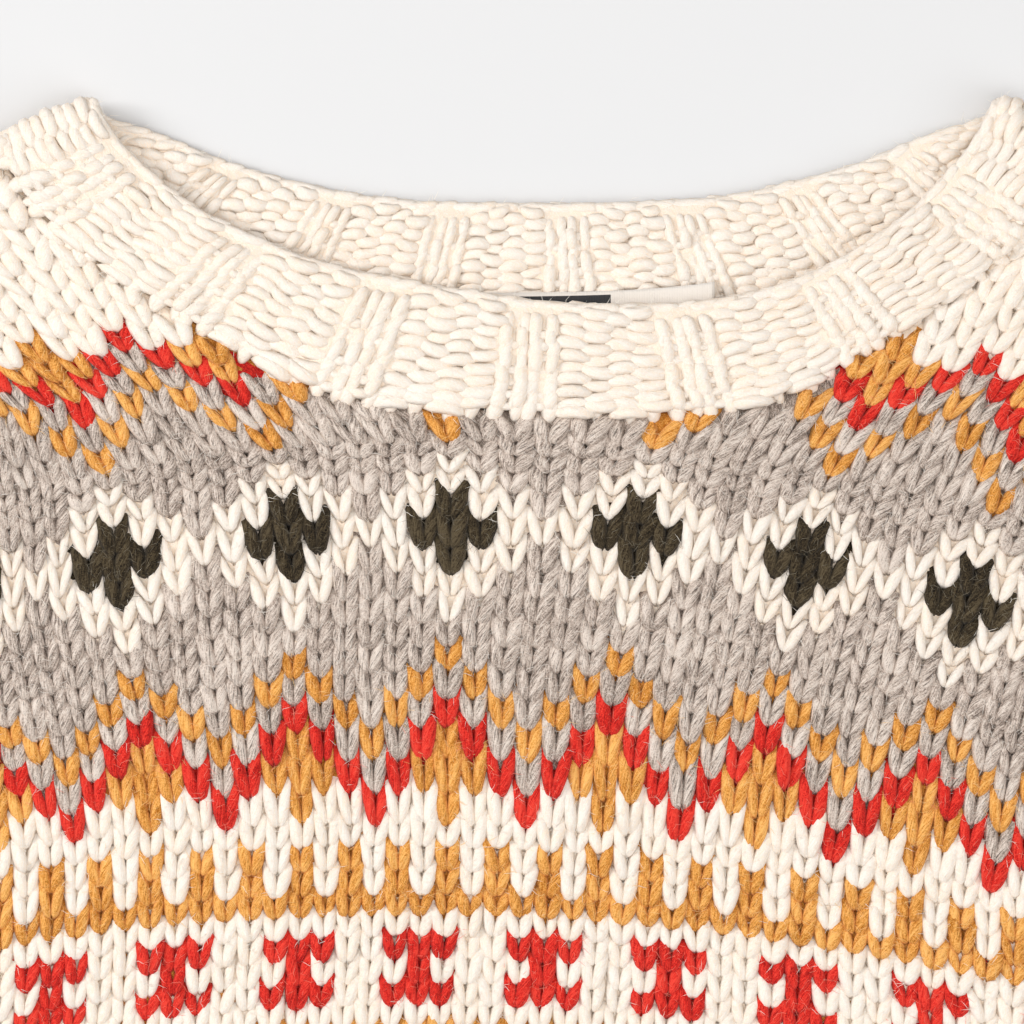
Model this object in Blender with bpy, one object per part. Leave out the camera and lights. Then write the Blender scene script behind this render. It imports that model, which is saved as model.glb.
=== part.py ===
"""A bulky hand-knitted fair isle pullover, laid flat on its back with its front up.

Units are metres and +Z is up. The neck points towards +Y and the wearer's left sleeve lies at +X.
The origin is on the surface that the garment lies on, under the middle of its box.
Each panel is a closed wall of thick knitting. The back lies on the surface, the front lies on the
back, and both round over to meet at the side and shoulder seams. The neckband, hem and cuffs are
knitted in ribs of two stitches in and two out, which stand proud of their walls.
"""

import math

import bmesh
import bpy
import numpy as np

# The knitting
WALL = 0.0040
SEAM_GAP = 0.0003
STITCH_WIDTH = 0.0063
FRONT_STITCHES = 90
RIB_STITCHES = 4
RIB_HEIGHT = 0.0009
RIB_RAISED_SHARE = 0.45

# The body
LENGTH = 0.650
CHEST_WIDTH = FRONT_STITCHES * STITCH_WIDTH
SIDE_X = CHEST_WIDTH / 2
HEM_DEPTH = 0.055
SHOULDER_SLOPE = math.radians(22)
ARMHOLE_DEPTH = 0.232
NECK_Y = LENGTH / 2
HEM_Y = NECK_Y - LENGTH
HEM_TOP_Y = HEM_Y + HEM_DEPTH
RIB_DRAW_IN = 0.055
DRAW_IN_REACH = 0.090

# The sleeves
SLEEVE_LENGTH = 0.445
SLEEVE_ANGLE = math.radians(37)
SLEEVE_END_WIDTH = 0.125
CUFF_LENGTH = 0.062
CUFF_WIDTH = 0.104
CUFF_RIBS = 5
SLEEVE_BOW = 0.010
SLEEVE_SWELL = 0.0020
# share of the cuff's length, share of the step from its own width to the sleeve's
CUFF_SHAPE = ((0.0, 0.85), (0.12, 0.30), (0.5, 0.0), (0.9, 0.0), (1.0, -0.08))

# The neckband. A drop is measured down from the level of the neck's two corners.
NECK_HALF_WIDTH = 0.11375
BAND_DEPTH = 0.026
BAND_WALL = 0.0042
FRONT_RIB_PERIOD = 0.0365
FRONT_RIB_START = -0.0050
BACK_RIB_PERIOD = 0.0284
BACK_RIB_START = 0.0050
EDGE_LEAN = 0.0033
SEAM_LEAN = 0.0012

# across, front drop, back drop, along the free edge of the neckband
NECK_EDGE = (
    (0.000, 0.0525, 0.0277),
    (0.025, 0.0512, 0.0274),
    (0.045, 0.0485, 0.0258),
    (0.062, 0.0440, 0.0224),
    (0.080, 0.0355, 0.0172),
    (0.092, 0.0275, 0.0122),
    (0.101, 0.0190, 0.0088),
    (0.107, 0.0125, 0.0070),
)
# across, drop, along the seam between the front and the neckband
FRONT_SEAM = (
    (0.000, 0.0790),
    (0.022, 0.0788),
    (0.040, 0.0774),
    (0.055, 0.0748),
    (0.068, 0.0695),
    (0.079, 0.0627),
    (0.092, 0.0550),
    (0.107, 0.0455),
    (0.120, 0.0350),
    (0.130, 0.0245),
)
# across, drop, along the seam between the back and the neckband
BACK_SEAM = (
    (0.000, 0.0537),
    (0.030, 0.0532),
    (0.055, 0.0506),
    (0.080, 0.0448),
    (0.100, 0.0375),
    (0.117, 0.0290),
    (0.129, 0.0210),
)

# How far the front lifts off the back
SEAM_LIFT = SEAM_GAP
LAY_LIFT = 0.0006
NECK_LIFT = 0.0026
NECK_LIFT_REACH = 0.100
LIFT_RISE = 0.016

# x, y, heading in degrees, half length, half width and height of the soft ridges in the upper layer
CREASES = (
    (0.205, 0.055, -62.0, 0.080, 0.011, 0.0013),
    (-0.200, 0.048, -116.0, 0.075, 0.012, 0.0012),
    (0.225, -0.080, -75.0, 0.110, 0.014, 0.0010),
    (-0.228, -0.105, -104.0, 0.100, 0.013, 0.0011),
    (0.085, -0.190, 12.0, 0.090, 0.016, 0.0009),
    (-0.110, -0.150, -9.0, 0.100, 0.017, 0.0009),
    (0.420, 0.030, -30.0, 0.070, 0.010, 0.0012),
    (-0.410, 0.022, -148.0, 0.075, 0.011, 0.0012),
    (0.545, -0.075, 60.0, 0.032, 0.010, 0.0011),
    (-0.560, -0.082, 118.0, 0.030, 0.009, 0.0011),
)

# The label sewn inside the back of the neck
LABEL_WIDTH = 0.064
LABEL_HEIGHT = 0.034
LABEL_THICKNESS = 0.0005
LABEL_CORNER_X = 0.0425
LABEL_CORNER_DROP = 0.0468
LABEL_TURN = math.radians(6)

# The mesh
EDGE_RADIUS = 0.0040
EDGE_STEPS = (0.0, 0.0006, 0.0018, EDGE_RADIUS)
EDGE_THIN_SHARE = 0.35
NECK_COLUMNS = 43
SHOULDER_COLUMNS = 6
FRONT_ROWS = 22
BACK_ROWS = 8
RIB_COLUMNS = 6
SLEEVE_STATIONS = 20
SLEEVE_COLUMNS = 16

CREAM = (0.93, 0.86, 0.74, 1.0)
WHITE = (0.92, 0.91, 0.88, 1.0)


def clear_scene():
    for old in list(bpy.data.objects):
        bpy.data.objects.remove(old, do_unlink=True)


def knit_material(name, colour, roughness):
    material = bpy.data.materials.new(name)
    material.use_nodes = True
    shader = material.node_tree.nodes["Principled BSDF"]
    shader.inputs["Base Color"].default_value = colour
    shader.inputs["Roughness"].default_value = roughness
    shader.inputs["Metallic"].default_value = 0.0
    return material


def add_solid(name, points, faces, material):
    """One closed mesh object from its points and faces, with every face turned outwards."""
    mesh = bpy.data.meshes.new(name)
    mesh.from_pydata([tuple(point) for point in points], [], faces)
    work = bmesh.new()
    work.from_mesh(mesh)
    bmesh.ops.recalc_face_normals(work, faces=work.faces)
    work.to_mesh(mesh)
    work.free()
    mesh.shade_smooth()
    mesh.set_sharp_from_angle(angle=math.radians(50))
    mesh.materials.append(material)
    solid = bpy.data.objects.new(name, mesh)
    bpy.context.scene.collection.objects.link(solid)
    return solid


def looped_solid(name, grid, material):
    """A solid whose grid of points closes on itself both ways, as the skin of a ring does."""
    across, around = grid.shape[:2]
    faces = []
    for i in range(across):
        for k in range(around):
            next_i, next_k = (i + 1) % across, (k + 1) % around
            faces.append(
                (i * around + k, next_i * around + k, next_i * around + next_k, i * around + next_k)
            )
    return add_solid(name, grid.reshape(-1, 3), faces, material)


def slab_solid(name, upper, lower, material):
    """A solid between an upper and a lower grid of points, walled in round its four sides."""
    rows, columns = upper.shape[:2]
    ring = np.concatenate([upper, lower[:, ::-1]], axis=1)
    around = 2 * columns
    faces = []
    for j in range(rows - 1):
        for i in range(around):
            next_i = (i + 1) % around
            faces.append(
                (j * around + i, j * around + next_i, (j + 1) * around + next_i, (j + 1) * around + i)
            )
    for j in (0, rows - 1):
        for i in range(columns - 1):
            faces.append(
                (
                    j * around + i,
                    j * around + i + 1,
                    j * around + around - 2 - i,
                    j * around + around - 1 - i,
                )
            )
    return add_solid(name, ring.reshape(-1, 3), faces, material)


def smooth_step(value):
    value = np.clip(value, 0.0, 1.0)
    return value * value * (3.0 - 2.0 * value)


def rounded(distance, radius=EDGE_RADIUS):
    """Share of the full wall at this distance from an edge that rounds over."""
    inward = 1.0 - np.clip(distance / radius, 0.0, 1.0)
    return EDGE_THIN_SHARE + (1.0 - EDGE_THIN_SHARE) * np.sqrt(1.0 - inward * inward)


def through(points, per_span=12):
    """A dense smooth line through the given points."""
    points = np.array(points, float)
    ends = np.concatenate([[2 * points[0] - points[1]], points, [2 * points[-1] - points[-2]]])
    line = []
    for before, start, end, after in zip(ends, ends[1:], ends[2:], ends[3:]):
        for share in np.linspace(0.0, 1.0, per_span, endpoint=False):
            line.append(
                0.5
                * (
                    2 * start
                    + (end - before) * share
                    + (2 * before - 5 * start + 4 * end - after) * share**2
                    + (3 * start - before - 3 * end + after) * share**3
                )
            )
    line.append(points[-1])
    return np.array(line)


def along(line):
    """Distance along a line at each of its points."""
    return np.concatenate([[0.0], np.cumsum(np.linalg.norm(np.diff(line, axis=0), axis=1))])


def at_distances(line, distances):
    reached = along(line)
    return np.stack([np.interp(distances, reached, line[:, k]) for k in range(2)], axis=1)


def moved_aside(line, distance):
    """A line moved to its right by a distance, in plan."""
    tangent = np.gradient(line, axis=0)
    tangent /= np.linalg.norm(tangent, axis=1)[:, None]
    return line + distance * np.stack([tangent[:, 1], -tangent[:, 0]], axis=1)


def crease_height(x, y):
    """Height of the soft ridges over a place on the upper layer."""
    height = np.zeros(np.broadcast(x, y).shape)
    for centre_x, centre_y, heading, half_length, half_width, high in CREASES:
        turn = math.radians(heading)
        ahead = (x - centre_x) * math.cos(turn) + (y - centre_y) * math.sin(turn)
        aside = (y - centre_y) * math.cos(turn) - (x - centre_x) * math.sin(turn)
        fade = np.clip(1.0 - (ahead / half_length) ** 2, 0.0, 1.0)
        height = height + high * fade**2 * np.exp(-((aside / half_width) ** 2))
    return height


def shoulder_y(x):
    """Height up the page of the shoulder seam at a place across."""
    return NECK_Y - (np.abs(x) - NECK_HALF_WIDTH) * math.tan(SHOULDER_SLOPE)


def corner_frame(side):
    """Plan directions at a neck corner: out along the shoulder, and square to it, off the garment."""
    outward = np.array([side * math.cos(SHOULDER_SLOPE), -math.sin(SHOULDER_SLOPE)])
    off = np.array([side * math.sin(SHOULDER_SLOPE), math.cos(SHOULDER_SLOPE)])
    return outward, off


def corner_point(side, share):
    """The neckband's fold in plan, from its free edge at share 0 to its seam at share 1."""
    outward, _ = corner_frame(side)
    return np.array([side * NECK_HALF_WIDTH, NECK_Y]) + outward * BAND_DEPTH * share


BAND_FOLD_RADIUS = (BAND_WALL + NECK_LIFT) / 2
BAND_FOLD_REACH = BAND_FOLD_RADIUS + BAND_WALL / 2


def neck_line(rows, lean, share):
    """A neckline in plan from the left corner's fold to the right one's."""
    half = [(across, NECK_Y - drop) for across, drop in rows]
    points = []
    for side, reach in ((-1, reversed(half)), (1, half[1:])):
        points += [(side * x, y) for x, y in reach]
    for side, at in ((-1, 0), (1, len(points) + 1)):
        _, off = corner_frame(side)
        points.insert(at, tuple(corner_point(side, share) - off * BAND_FOLD_REACH))
    line = through(points)
    widest = abs(line[0, 0])
    line[:, 1] -= lean * np.sin(math.pi * line[:, 0] / widest)
    return line


FRONT_EDGE_LINE = neck_line([(a, front) for a, front, _ in NECK_EDGE], EDGE_LEAN, 0.0)
BACK_EDGE_LINE = neck_line([(a, back) for a, _, back in NECK_EDGE], 0.0, 0.0)
FRONT_SEAM_LINE = neck_line(FRONT_SEAM, SEAM_LEAN, 1.0)
BACK_SEAM_LINE = neck_line(BACK_SEAM, 0.0, 1.0)


def width_share(y):
    """How much of the chest's width the body keeps at a height, where the hem's rib draws it in."""
    above_hem = smooth_step(1.0 - (y - HEM_TOP_Y) / DRAW_IN_REACH)
    spread = smooth_step((HEM_Y + 0.030 - y) / 0.030)
    return 1.0 - RIB_DRAW_IN * above_hem * (1.0 - 0.15 * spread)


def panel_top(seam_line):
    """The panel's upper outline in plan, from one shoulder's end to the other's, by columns."""
    neck = at_distances(seam_line, np.linspace(0.0, along(seam_line)[-1], NECK_COLUMNS))
    with_folds = np.concatenate([[corner_point(-1, 1.0)], neck, [corner_point(1, 1.0)]])
    inner = moved_aside(with_folds, SEAM_GAP)
    first_x = inner[-1, 0] + 0.004
    outer_x = [SIDE_X - step for step in reversed(EDGE_STEPS)]
    shoulder_x = list(np.linspace(first_x, outer_x[0], SHOULDER_COLUMNS, endpoint=False)) + outer_x
    right = np.array([(x, shoulder_y(x)) for x in shoulder_x])
    left = right[::-1] * (-1.0, 1.0)
    return np.concatenate([left, inner, right])


def panel_plan(seam_line, middle_rows):
    """Plan points of a panel by rows and columns, and how far each is from its nearest edge."""
    top = panel_top(seam_line)
    slope = np.gradient(top[:, 1], top[:, 0])
    square = 1.0 / np.sqrt(1.0 + slope**2)
    bottom_y = HEM_TOP_Y + SEAM_GAP
    rows = [(0.0, step) for step in EDGE_STEPS]
    rows += [(share, 0.0) for share in np.linspace(0.0, 1.0, middle_rows + 2)[1:-1]]
    rows += [(1.0, -step) for step in reversed(EDGE_STEPS)]
    plan, distance = [], []
    for share, shift in rows:
        lift = np.where(shift < 0, shift / np.maximum(square, 0.35), shift)
        y = bottom_y + (top[:, 1] - bottom_y) * share + lift
        plan.append(np.stack([top[:, 0] * width_share(y), y], axis=1))
        to_top = (top[:, 1] - y) * square
        distance.append(np.minimum(np.minimum(SIDE_X - np.abs(top[:, 0]), y - bottom_y), to_top))
    return np.array(plan), np.maximum(np.array(distance), 0.0)


def to_side_seam(x, y):
    """Distance from the side and shoulder seams, where the front comes down on the back."""
    to_shoulder = (shoulder_y(x) - y) * math.cos(SHOULDER_SLOPE)
    return np.maximum(np.minimum(SIDE_X - np.abs(x), to_shoulder), 0.0)


def front_lift(x, y):
    """Height of the front's underside over the back's upper face."""
    from_neck = np.hypot(x / 1.6, y - (NECK_Y - FRONT_SEAM[0][1]))
    near_neck = smooth_step(1.0 - (from_neck - 0.045) / NECK_LIFT_REACH)
    inside = LAY_LIFT + (NECK_LIFT - LAY_LIFT) * near_neck + crease_height(x, y)
    rise = smooth_step(to_side_seam(x, y) / LIFT_RISE)
    return SEAM_LIFT + (inside - SEAM_LIFT) * rise


def build_front(material):
    plan, distance = panel_plan(FRONT_SEAM_LINE, FRONT_ROWS)
    under = WALL + front_lift(plan[..., 0], plan[..., 1])
    over = under + WALL * rounded(distance)
    upper = np.concatenate([plan, over[..., None]], axis=2)
    lower = np.concatenate([plan, under[..., None]], axis=2)
    return slab_solid("front", upper, lower, material)


def build_back(material):
    plan, distance = panel_plan(BACK_SEAM_LINE, BACK_ROWS)
    under = WALL * (1.0 - rounded(distance))
    upper = np.concatenate([plan, np.full(under.shape + (1,), WALL)], axis=2)
    lower = np.concatenate([plan, under[..., None]], axis=2)
    return slab_solid("back", upper, lower, material)


def rib(distance, period, start):
    """Height of a rib: raised for two stitches and low for two, round at both shoulders."""
    phase = np.abs((np.asarray(distance) - start) / period + 0.5) % 1.0
    from_middle = np.abs(phase - 0.5)
    return RIB_HEIGHT * smooth_step((RIB_RAISED_SHARE / 2 + 0.07 - from_middle) / 0.14)


def hem_plan(columns, rows):
    """Plan points of a hem band by rows and columns, and how far each is from its nearest edge."""
    plan, distance = [], []
    for share, shift in rows:
        height = HEM_DEPTH * share + shift
        x = columns * width_share(HEM_Y + height)
        plan.append(np.stack([x, np.full(x.shape, HEM_Y + height)], axis=1))
        to_side = SIDE_X - np.abs(columns)
        distance.append(np.minimum(to_side, min(height, HEM_DEPTH - height)))
    return np.array(plan), np.maximum(np.array(distance), 0.0)


def build_hem(name, is_front, material):
    rib_period = RIB_STITCHES * STITCH_WIDTH
    count = int(round(CHEST_WIDTH / rib_period * RIB_COLUMNS)) if is_front else 12
    inner = np.linspace(-SIDE_X + EDGE_RADIUS, SIDE_X - EDGE_RADIUS, count + 1)
    sides = SIDE_X - np.array(EDGE_STEPS[:-1])
    columns = np.concatenate([-sides, inner, sides[::-1]])
    rows = ((0.0, 0.0), (0.0, 0.0018), (0.5, 0.0), (1.0, -0.0018), (1.0, 0.0))
    plan, distance = hem_plan(columns, rows)
    share = rounded(distance)
    if is_front:
        under = np.full(share.shape, WALL + SEAM_LIFT)
        raised = rib(columns, rib_period, 0.0) * smooth_step(distance / EDGE_RADIUS)
        over = under + WALL * share + raised
    else:
        under = WALL * (1.0 - share)
        over = np.full(share.shape, WALL)
    upper = np.concatenate([plan, over[..., None]], axis=2)
    lower = np.concatenate([plan, under[..., None]], axis=2)
    return slab_solid(name, upper, lower, material)


def sleeve_frame(side):
    """The sleeve's direction, the direction square to it in plan, and the ends and middle of the armhole."""
    direction = np.array([side * math.cos(SLEEVE_ANGLE), -math.sin(SLEEVE_ANGLE)])
    upward = np.array([side * math.sin(SLEEVE_ANGLE), math.cos(SLEEVE_ANGLE)])
    armhole_top = np.array([side * (SIDE_X + SEAM_GAP), shoulder_y(SIDE_X)])
    armhole_bottom = armhole_top - (0.0, ARMHOLE_DEPTH)
    middle = (armhole_top + armhole_bottom) / 2
    return direction, upward, armhole_top, armhole_bottom, middle


def tube_section(top, bottom, ribs, puff):
    """Outer and inner points round a flattened tube between its two edges in plan."""
    height = 2 * WALL + LAY_LIFT
    radius = height / 2
    width = np.linalg.norm(top - bottom)
    across = (top - bottom) / width
    half = width / 2 - radius
    middle = (top + bottom) / 2
    flat = ribs * RIB_COLUMNS if ribs else SLEEVE_COLUMNS
    face = np.linspace(-half, half, flat + 1)
    turn = np.linspace(0.0, math.pi, 6)[1:-1]
    ring = [(at, 0.0, 1.0, at) for at in face]
    ring += [(half, math.sin(a), math.cos(a), half) for a in turn]
    ring += [(at, 0.0, -1.0, at) for at in np.linspace(half, -half, 7)]
    ring += [(-half, -math.sin(a), -math.cos(a), -half) for a in turn]
    outer, inner = [], []
    for at, side_share, up_share, place in ring:
        is_top = up_share > 0.99
        swell = puff * max(0.0, 1.0 - (place / half) ** 2) if is_top else 0.0
        raised = 0.0
        if ribs and is_top:
            period = 2 * half / ribs
            raised = float(rib(place, period, period * (0.5 if ribs % 2 == 0 else 0.0)))
        for points, reach, extra in ((outer, radius, raised), (inner, radius - WALL, 0.0)):
            plan = middle + across * (at + side_share * reach)
            z = radius + up_share * reach + swell + extra
            if is_top and not ribs:
                z += float(crease_height(plan[0], plan[1])) * max(0.0, 1.0 - (place / half) ** 4)
            points.append((plan[0], plan[1], z))
    return np.array(outer), np.array(inner)


def tube_solid(name, stations, ribs, puff, material):
    """A flattened open tube through stations of an upper and a lower plan point."""
    outers, inners = [], []
    for number, (top, bottom) in enumerate(stations):
        share = number / (len(stations) - 1)
        swell = puff * math.sqrt(max(math.sin(math.pi * share), 0.0))
        outer, inner = tube_section(top, bottom, ribs, swell)
        outers.append(outer)
        inners.append(inner)
    grid = np.array(outers + inners[::-1])
    return looped_solid(name, grid, material)


def build_sleeve(name, side, material):
    direction, upward, armhole_top, armhole_bottom, middle = sleeve_frame(side)
    end_middle = middle + direction * SLEEVE_LENGTH
    end_top = end_middle + upward * SLEEVE_END_WIDTH / 2
    end_bottom = end_middle - upward * SLEEVE_END_WIDTH / 2
    stations = []
    for share in np.linspace(0.0, 1.0, SLEEVE_STATIONS):
        bow = SLEEVE_BOW * math.sin(math.pi * share)
        top = armhole_top * (1 - share) + end_top * share + upward * bow
        bottom = armhole_bottom * (1 - share) + end_bottom * share + upward * bow * 0.6
        stations.append((top, bottom))
    return tube_solid(name, stations, 0, SLEEVE_SWELL, material)


def build_cuff(name, side, material):
    direction, upward, _, _, middle = sleeve_frame(side)
    start = middle + direction * (SLEEVE_LENGTH + SEAM_GAP)
    stations = []
    for share, spread in CUFF_SHAPE:
        width = CUFF_WIDTH + (SLEEVE_END_WIDTH - CUFF_WIDTH) * spread
        centre = start + direction * CUFF_LENGTH * share
        stations.append((centre + upward * width / 2, centre - upward * width / 2))
    return tube_solid(name, stations, CUFF_RIBS, 0.0, material)


def band_sections():
    """Middle points of the neckband's wall and its outward direction, section by section round it."""
    shares = np.array([0.0, 0.05, 0.35, 0.65, 0.95, 1.0])
    sections = []

    def flat_part(edge_line, seam_line, height, up, count, backwards):
        edge_length, seam_length = along(edge_line)[-1], along(seam_line)[-1]
        steps = np.linspace(0.0, 1.0, count)
        edge = at_distances(edge_line, steps * edge_length)
        seam = at_distances(seam_line, steps * seam_length)
        order = range(count)[::-1] if backwards else range(count)
        for i in order:
            plan = edge[i] * (1 - shares[:, None]) + seam[i] * shares[:, None]
            middle = np.concatenate([plan, np.full((len(shares), 1), height)], axis=1)
            distance = (steps[i] - 0.5) * edge_length
            sections.append((middle, np.array([0.0, 0.0, up]), distance))

    def fold(side, front_to_back):
        _, off = corner_frame(side)
        turns = np.linspace(0.0, math.pi, 7)[1:-1]
        if not front_to_back:
            turns = turns[::-1]
        centre_z = BAND_WALL / 2 + BAND_FOLD_RADIUS
        for turn in turns:
            outward = np.array([off[0] * math.sin(turn), off[1] * math.sin(turn), math.cos(turn)])
            centre = [corner_point(side, share) - off * BAND_FOLD_REACH for share in shares]
            middle = np.concatenate([centre, np.full((len(shares), 1), centre_z)], axis=1)
            sections.append((middle + outward * BAND_FOLD_RADIUS, outward, None))

    front_z = BAND_WALL * 1.5 + NECK_LIFT
    flat_part(FRONT_EDGE_LINE, FRONT_SEAM_LINE, front_z, 1.0, NECK_COLUMNS, False)
    fold(1, True)
    flat_part(BACK_EDGE_LINE, BACK_SEAM_LINE, BAND_WALL / 2, -1.0, NECK_COLUMNS, True)
    fold(-1, False)
    return shares, sections


def build_neckband(material):
    """The ribbed band as a ring of sections: each goes out along the outer face and back inside."""
    shares, sections = band_sections()
    fade = smooth_step(np.minimum(shares, 1.0 - shares) / 0.2)
    half = BAND_WALL / 2 * np.where(np.minimum(shares, 1.0 - shares) < 0.01, 0.6, 1.0)
    grid = []
    for middle, outward, distance in sections:
        raised_outside = raised_inside = np.zeros(len(shares))
        if distance is not None and outward[2] > 0:
            raised_outside = fade * rib(distance, FRONT_RIB_PERIOD, FRONT_RIB_START)
        if distance is not None and outward[2] < 0:
            raised_inside = fade * rib(distance, BACK_RIB_PERIOD, BACK_RIB_START)
        outer = middle + outward * (half + raised_outside)[:, None]
        inner = middle - outward * (half + raised_inside)[:, None]
        grid.append(np.concatenate([outer, inner[::-1]]))
    return looped_solid("neckband", np.array(grid), material)


def build_label(material):
    """A thin woven rectangle, turned a little, over the back's neck seam."""
    base = BAND_WALL + RIB_HEIGHT + SEAM_GAP
    bpy.ops.mesh.primitive_cube_add(size=1.0)
    label = bpy.context.object
    label.name = "neck_label"
    label.data.name = "neck_label"
    corner = np.array([LABEL_CORNER_X, NECK_Y - LABEL_CORNER_DROP])
    sideways = np.array([math.cos(LABEL_TURN), math.sin(LABEL_TURN)])
    downwards = np.array([math.sin(LABEL_TURN), -math.cos(LABEL_TURN)])
    centre = corner - sideways * LABEL_WIDTH / 2 + downwards * LABEL_HEIGHT / 2
    label.scale = (LABEL_WIDTH, LABEL_HEIGHT, LABEL_THICKNESS)
    label.rotation_euler = (0.0, 0.0, LABEL_TURN)
    label.location = (centre[0], centre[1], base + LABEL_THICKNESS / 2)
    label.data.materials.append(material)
    return label


def build_sweater():
    clear_scene()
    build_front(knit_material("front_knit", CREAM, 0.9))
    build_back(knit_material("back_knit", CREAM, 0.9))
    build_hem("hem_rib_front", True, knit_material("hem_front_knit", CREAM, 0.9))
    build_hem("hem_rib_back", False, knit_material("hem_back_knit", CREAM, 0.9))
    for side_name, side in (("left", 1), ("right", -1)):
        build_sleeve(f"sleeve_{side_name}", side, knit_material(f"sleeve_{side_name}_knit", CREAM, 0.9))
        build_cuff(f"cuff_{side_name}", side, knit_material(f"cuff_{side_name}_knit", CREAM, 0.9))
    build_neckband(knit_material("neckband_knit", CREAM, 0.9))
    build_label(knit_material("label_weave", WHITE, 0.7))


build_sweater()
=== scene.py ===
# %% [markdown]
# A bulky hand-knitted fair isle pullover, laid flat on its back and seen from straight above.
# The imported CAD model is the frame: it holds the garment's true sizes, as plain walls of cloth.
# This script dresses it. Each cloth gets a soft ground that follows its CAD wall, and the stitches
# are laid on that ground one by one, because on a garment this coarse each stitch can be seen.

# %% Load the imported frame
import math

import bmesh
import bpy
import numpy as np
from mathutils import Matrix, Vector
from mathutils.bvhtree import BVHTree


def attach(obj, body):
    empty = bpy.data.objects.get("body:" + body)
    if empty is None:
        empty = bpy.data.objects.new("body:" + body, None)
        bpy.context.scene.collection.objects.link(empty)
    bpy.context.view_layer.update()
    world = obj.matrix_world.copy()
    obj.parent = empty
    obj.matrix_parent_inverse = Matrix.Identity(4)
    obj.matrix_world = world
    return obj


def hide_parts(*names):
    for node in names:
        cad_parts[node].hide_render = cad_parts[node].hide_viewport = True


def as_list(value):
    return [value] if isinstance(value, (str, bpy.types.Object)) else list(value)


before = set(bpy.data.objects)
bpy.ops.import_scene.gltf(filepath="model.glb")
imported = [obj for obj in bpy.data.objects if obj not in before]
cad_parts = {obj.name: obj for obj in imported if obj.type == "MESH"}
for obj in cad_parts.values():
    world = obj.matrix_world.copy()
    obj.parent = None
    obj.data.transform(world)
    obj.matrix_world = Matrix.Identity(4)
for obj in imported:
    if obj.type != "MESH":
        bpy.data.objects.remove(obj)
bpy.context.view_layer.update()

# %% [markdown]
# The sizes below are the ones that the CAD model was drawn with. They are repeated here as named
# values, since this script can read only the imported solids. A drop is measured down the garment
# from the level of the neck's two corners, which is how a knitter measures a yoke.

# %% Sizes of the garment
WALL = 0.0040
STITCH_WIDTH = 0.0063
SIDE_X = 0.2835
NECK_Y = 0.325
HEM_Y = -0.325
HEM_DEPTH = 0.055
HEM_TOP_Y = HEM_Y + HEM_DEPTH
RIB_DRAW_IN = 0.055
DRAW_IN_REACH = 0.090
EDGE_SPREAD = 0.15
EDGE_SPREAD_REACH = 0.030
NECK_HALF_WIDTH = 0.11375
SHOULDER_SLOPE = math.radians(22)
BAND_DEPTH = 0.026
BAND_WALL = 0.0042
NECK_LIFT = 0.0026
RIB_HEIGHT = 0.0009
EDGE_LEAN = 0.0033
SEAM_LEAN = 0.0012
FRONT_RIB_PERIOD = 0.0365
FRONT_RIB_START = -0.0050
BACK_RIB_PERIOD = 0.0284
BACK_RIB_START = 0.0050
SLEEVE_LENGTH = 0.445
SLEEVE_ANGLE = math.radians(37)
SLEEVE_END_WIDTH = 0.125
SLEEVE_BOW = 0.010
ARMHOLE_DEPTH = 0.232
CUFF_LENGTH = 0.062
CUFF_WIDTH = 0.104
CUFF_RIBS = 5
RIB_PERIOD = 4 * STITCH_WIDTH

# %% [markdown]
# The camera looks straight down with a long lens, as a product photograph of a laid-out garment is
# taken. A few pixel positions of the photograph fix the picture: the garment's centre line, and the
# level of the neck's corners. One pixel is a quarter of a millimetre on the cloth.

# %% Camera
PICTURE_SIDE_PX = 1024
CENTRE_LINE_PX = 545
CORNER_LEVEL_PX = 94
PIXEL = 0.00025
CLOTH_Z = 0.009
CAMERA_HEIGHT = 1.5
SENSOR = 36.0


def pixel_x(column_px):
    return (column_px - CENTRE_LINE_PX) * PIXEL


def pixel_drop(row_px):
    return (row_px - CORNER_LEVEL_PX) * PIXEL


def in_scene(name, data):
    """A new object of the scene, which stands at the origin."""
    made = bpy.data.objects.new(name, data)
    bpy.context.scene.collection.objects.link(made)
    return made


def add_camera():
    camera_data = bpy.data.cameras.new("overhead_camera")
    camera_data.sensor_width = SENSOR
    camera_data.lens = SENSOR * CAMERA_HEIGHT / (PICTURE_SIDE_PX * PIXEL)
    camera_data.clip_start = 0.05
    camera_data.clip_end = 20.0
    camera = in_scene("overhead_camera", camera_data)
    middle_px = PICTURE_SIDE_PX / 2
    camera.location = (pixel_x(middle_px), NECK_Y - pixel_drop(middle_px), CLOTH_Z + CAMERA_HEIGHT)
    bpy.context.scene.camera = camera
    return camera


camera = add_camera()
print("camera", list(camera.location), "lens", camera.data.lens)

# %% [markdown]
# The light is soft and bright, and most of it comes from the left of the picture, low over the
# wearer's right arm. It models every stitch and leaves the hollow of the collar in shade at that
# corner. Two wide boxes and the air of the studio fill the rest, and the floor is pale paper.

# %% Floor and studio lights
FLOOR_SIDE = 6.0
LIGHTS = (
    # name, place, aimed at, side, power
    ("key_softbox", (-1.70, 0.70, 1.05), (0.0, 0.20, 0.0), 0.70, 24.0),
    ("fill_softbox", (1.35, -0.60, 1.30), (0.0, 0.05, 0.0), 1.40, 11.5),
    ("overhead_softbox", (0.05, 0.10, 2.10), (0.0, 0.10, 0.0), 2.00, 20.7),
)
SKY_STRENGTH = 0.395


def plain_material(name, colour, roughness):
    material = bpy.data.materials.new(name)
    material.use_nodes = True
    shader = material.node_tree.nodes["Principled BSDF"]
    shader.inputs["Base Color"].default_value = (*colour, 1.0)
    shader.inputs["Roughness"].default_value = roughness
    return material


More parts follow.
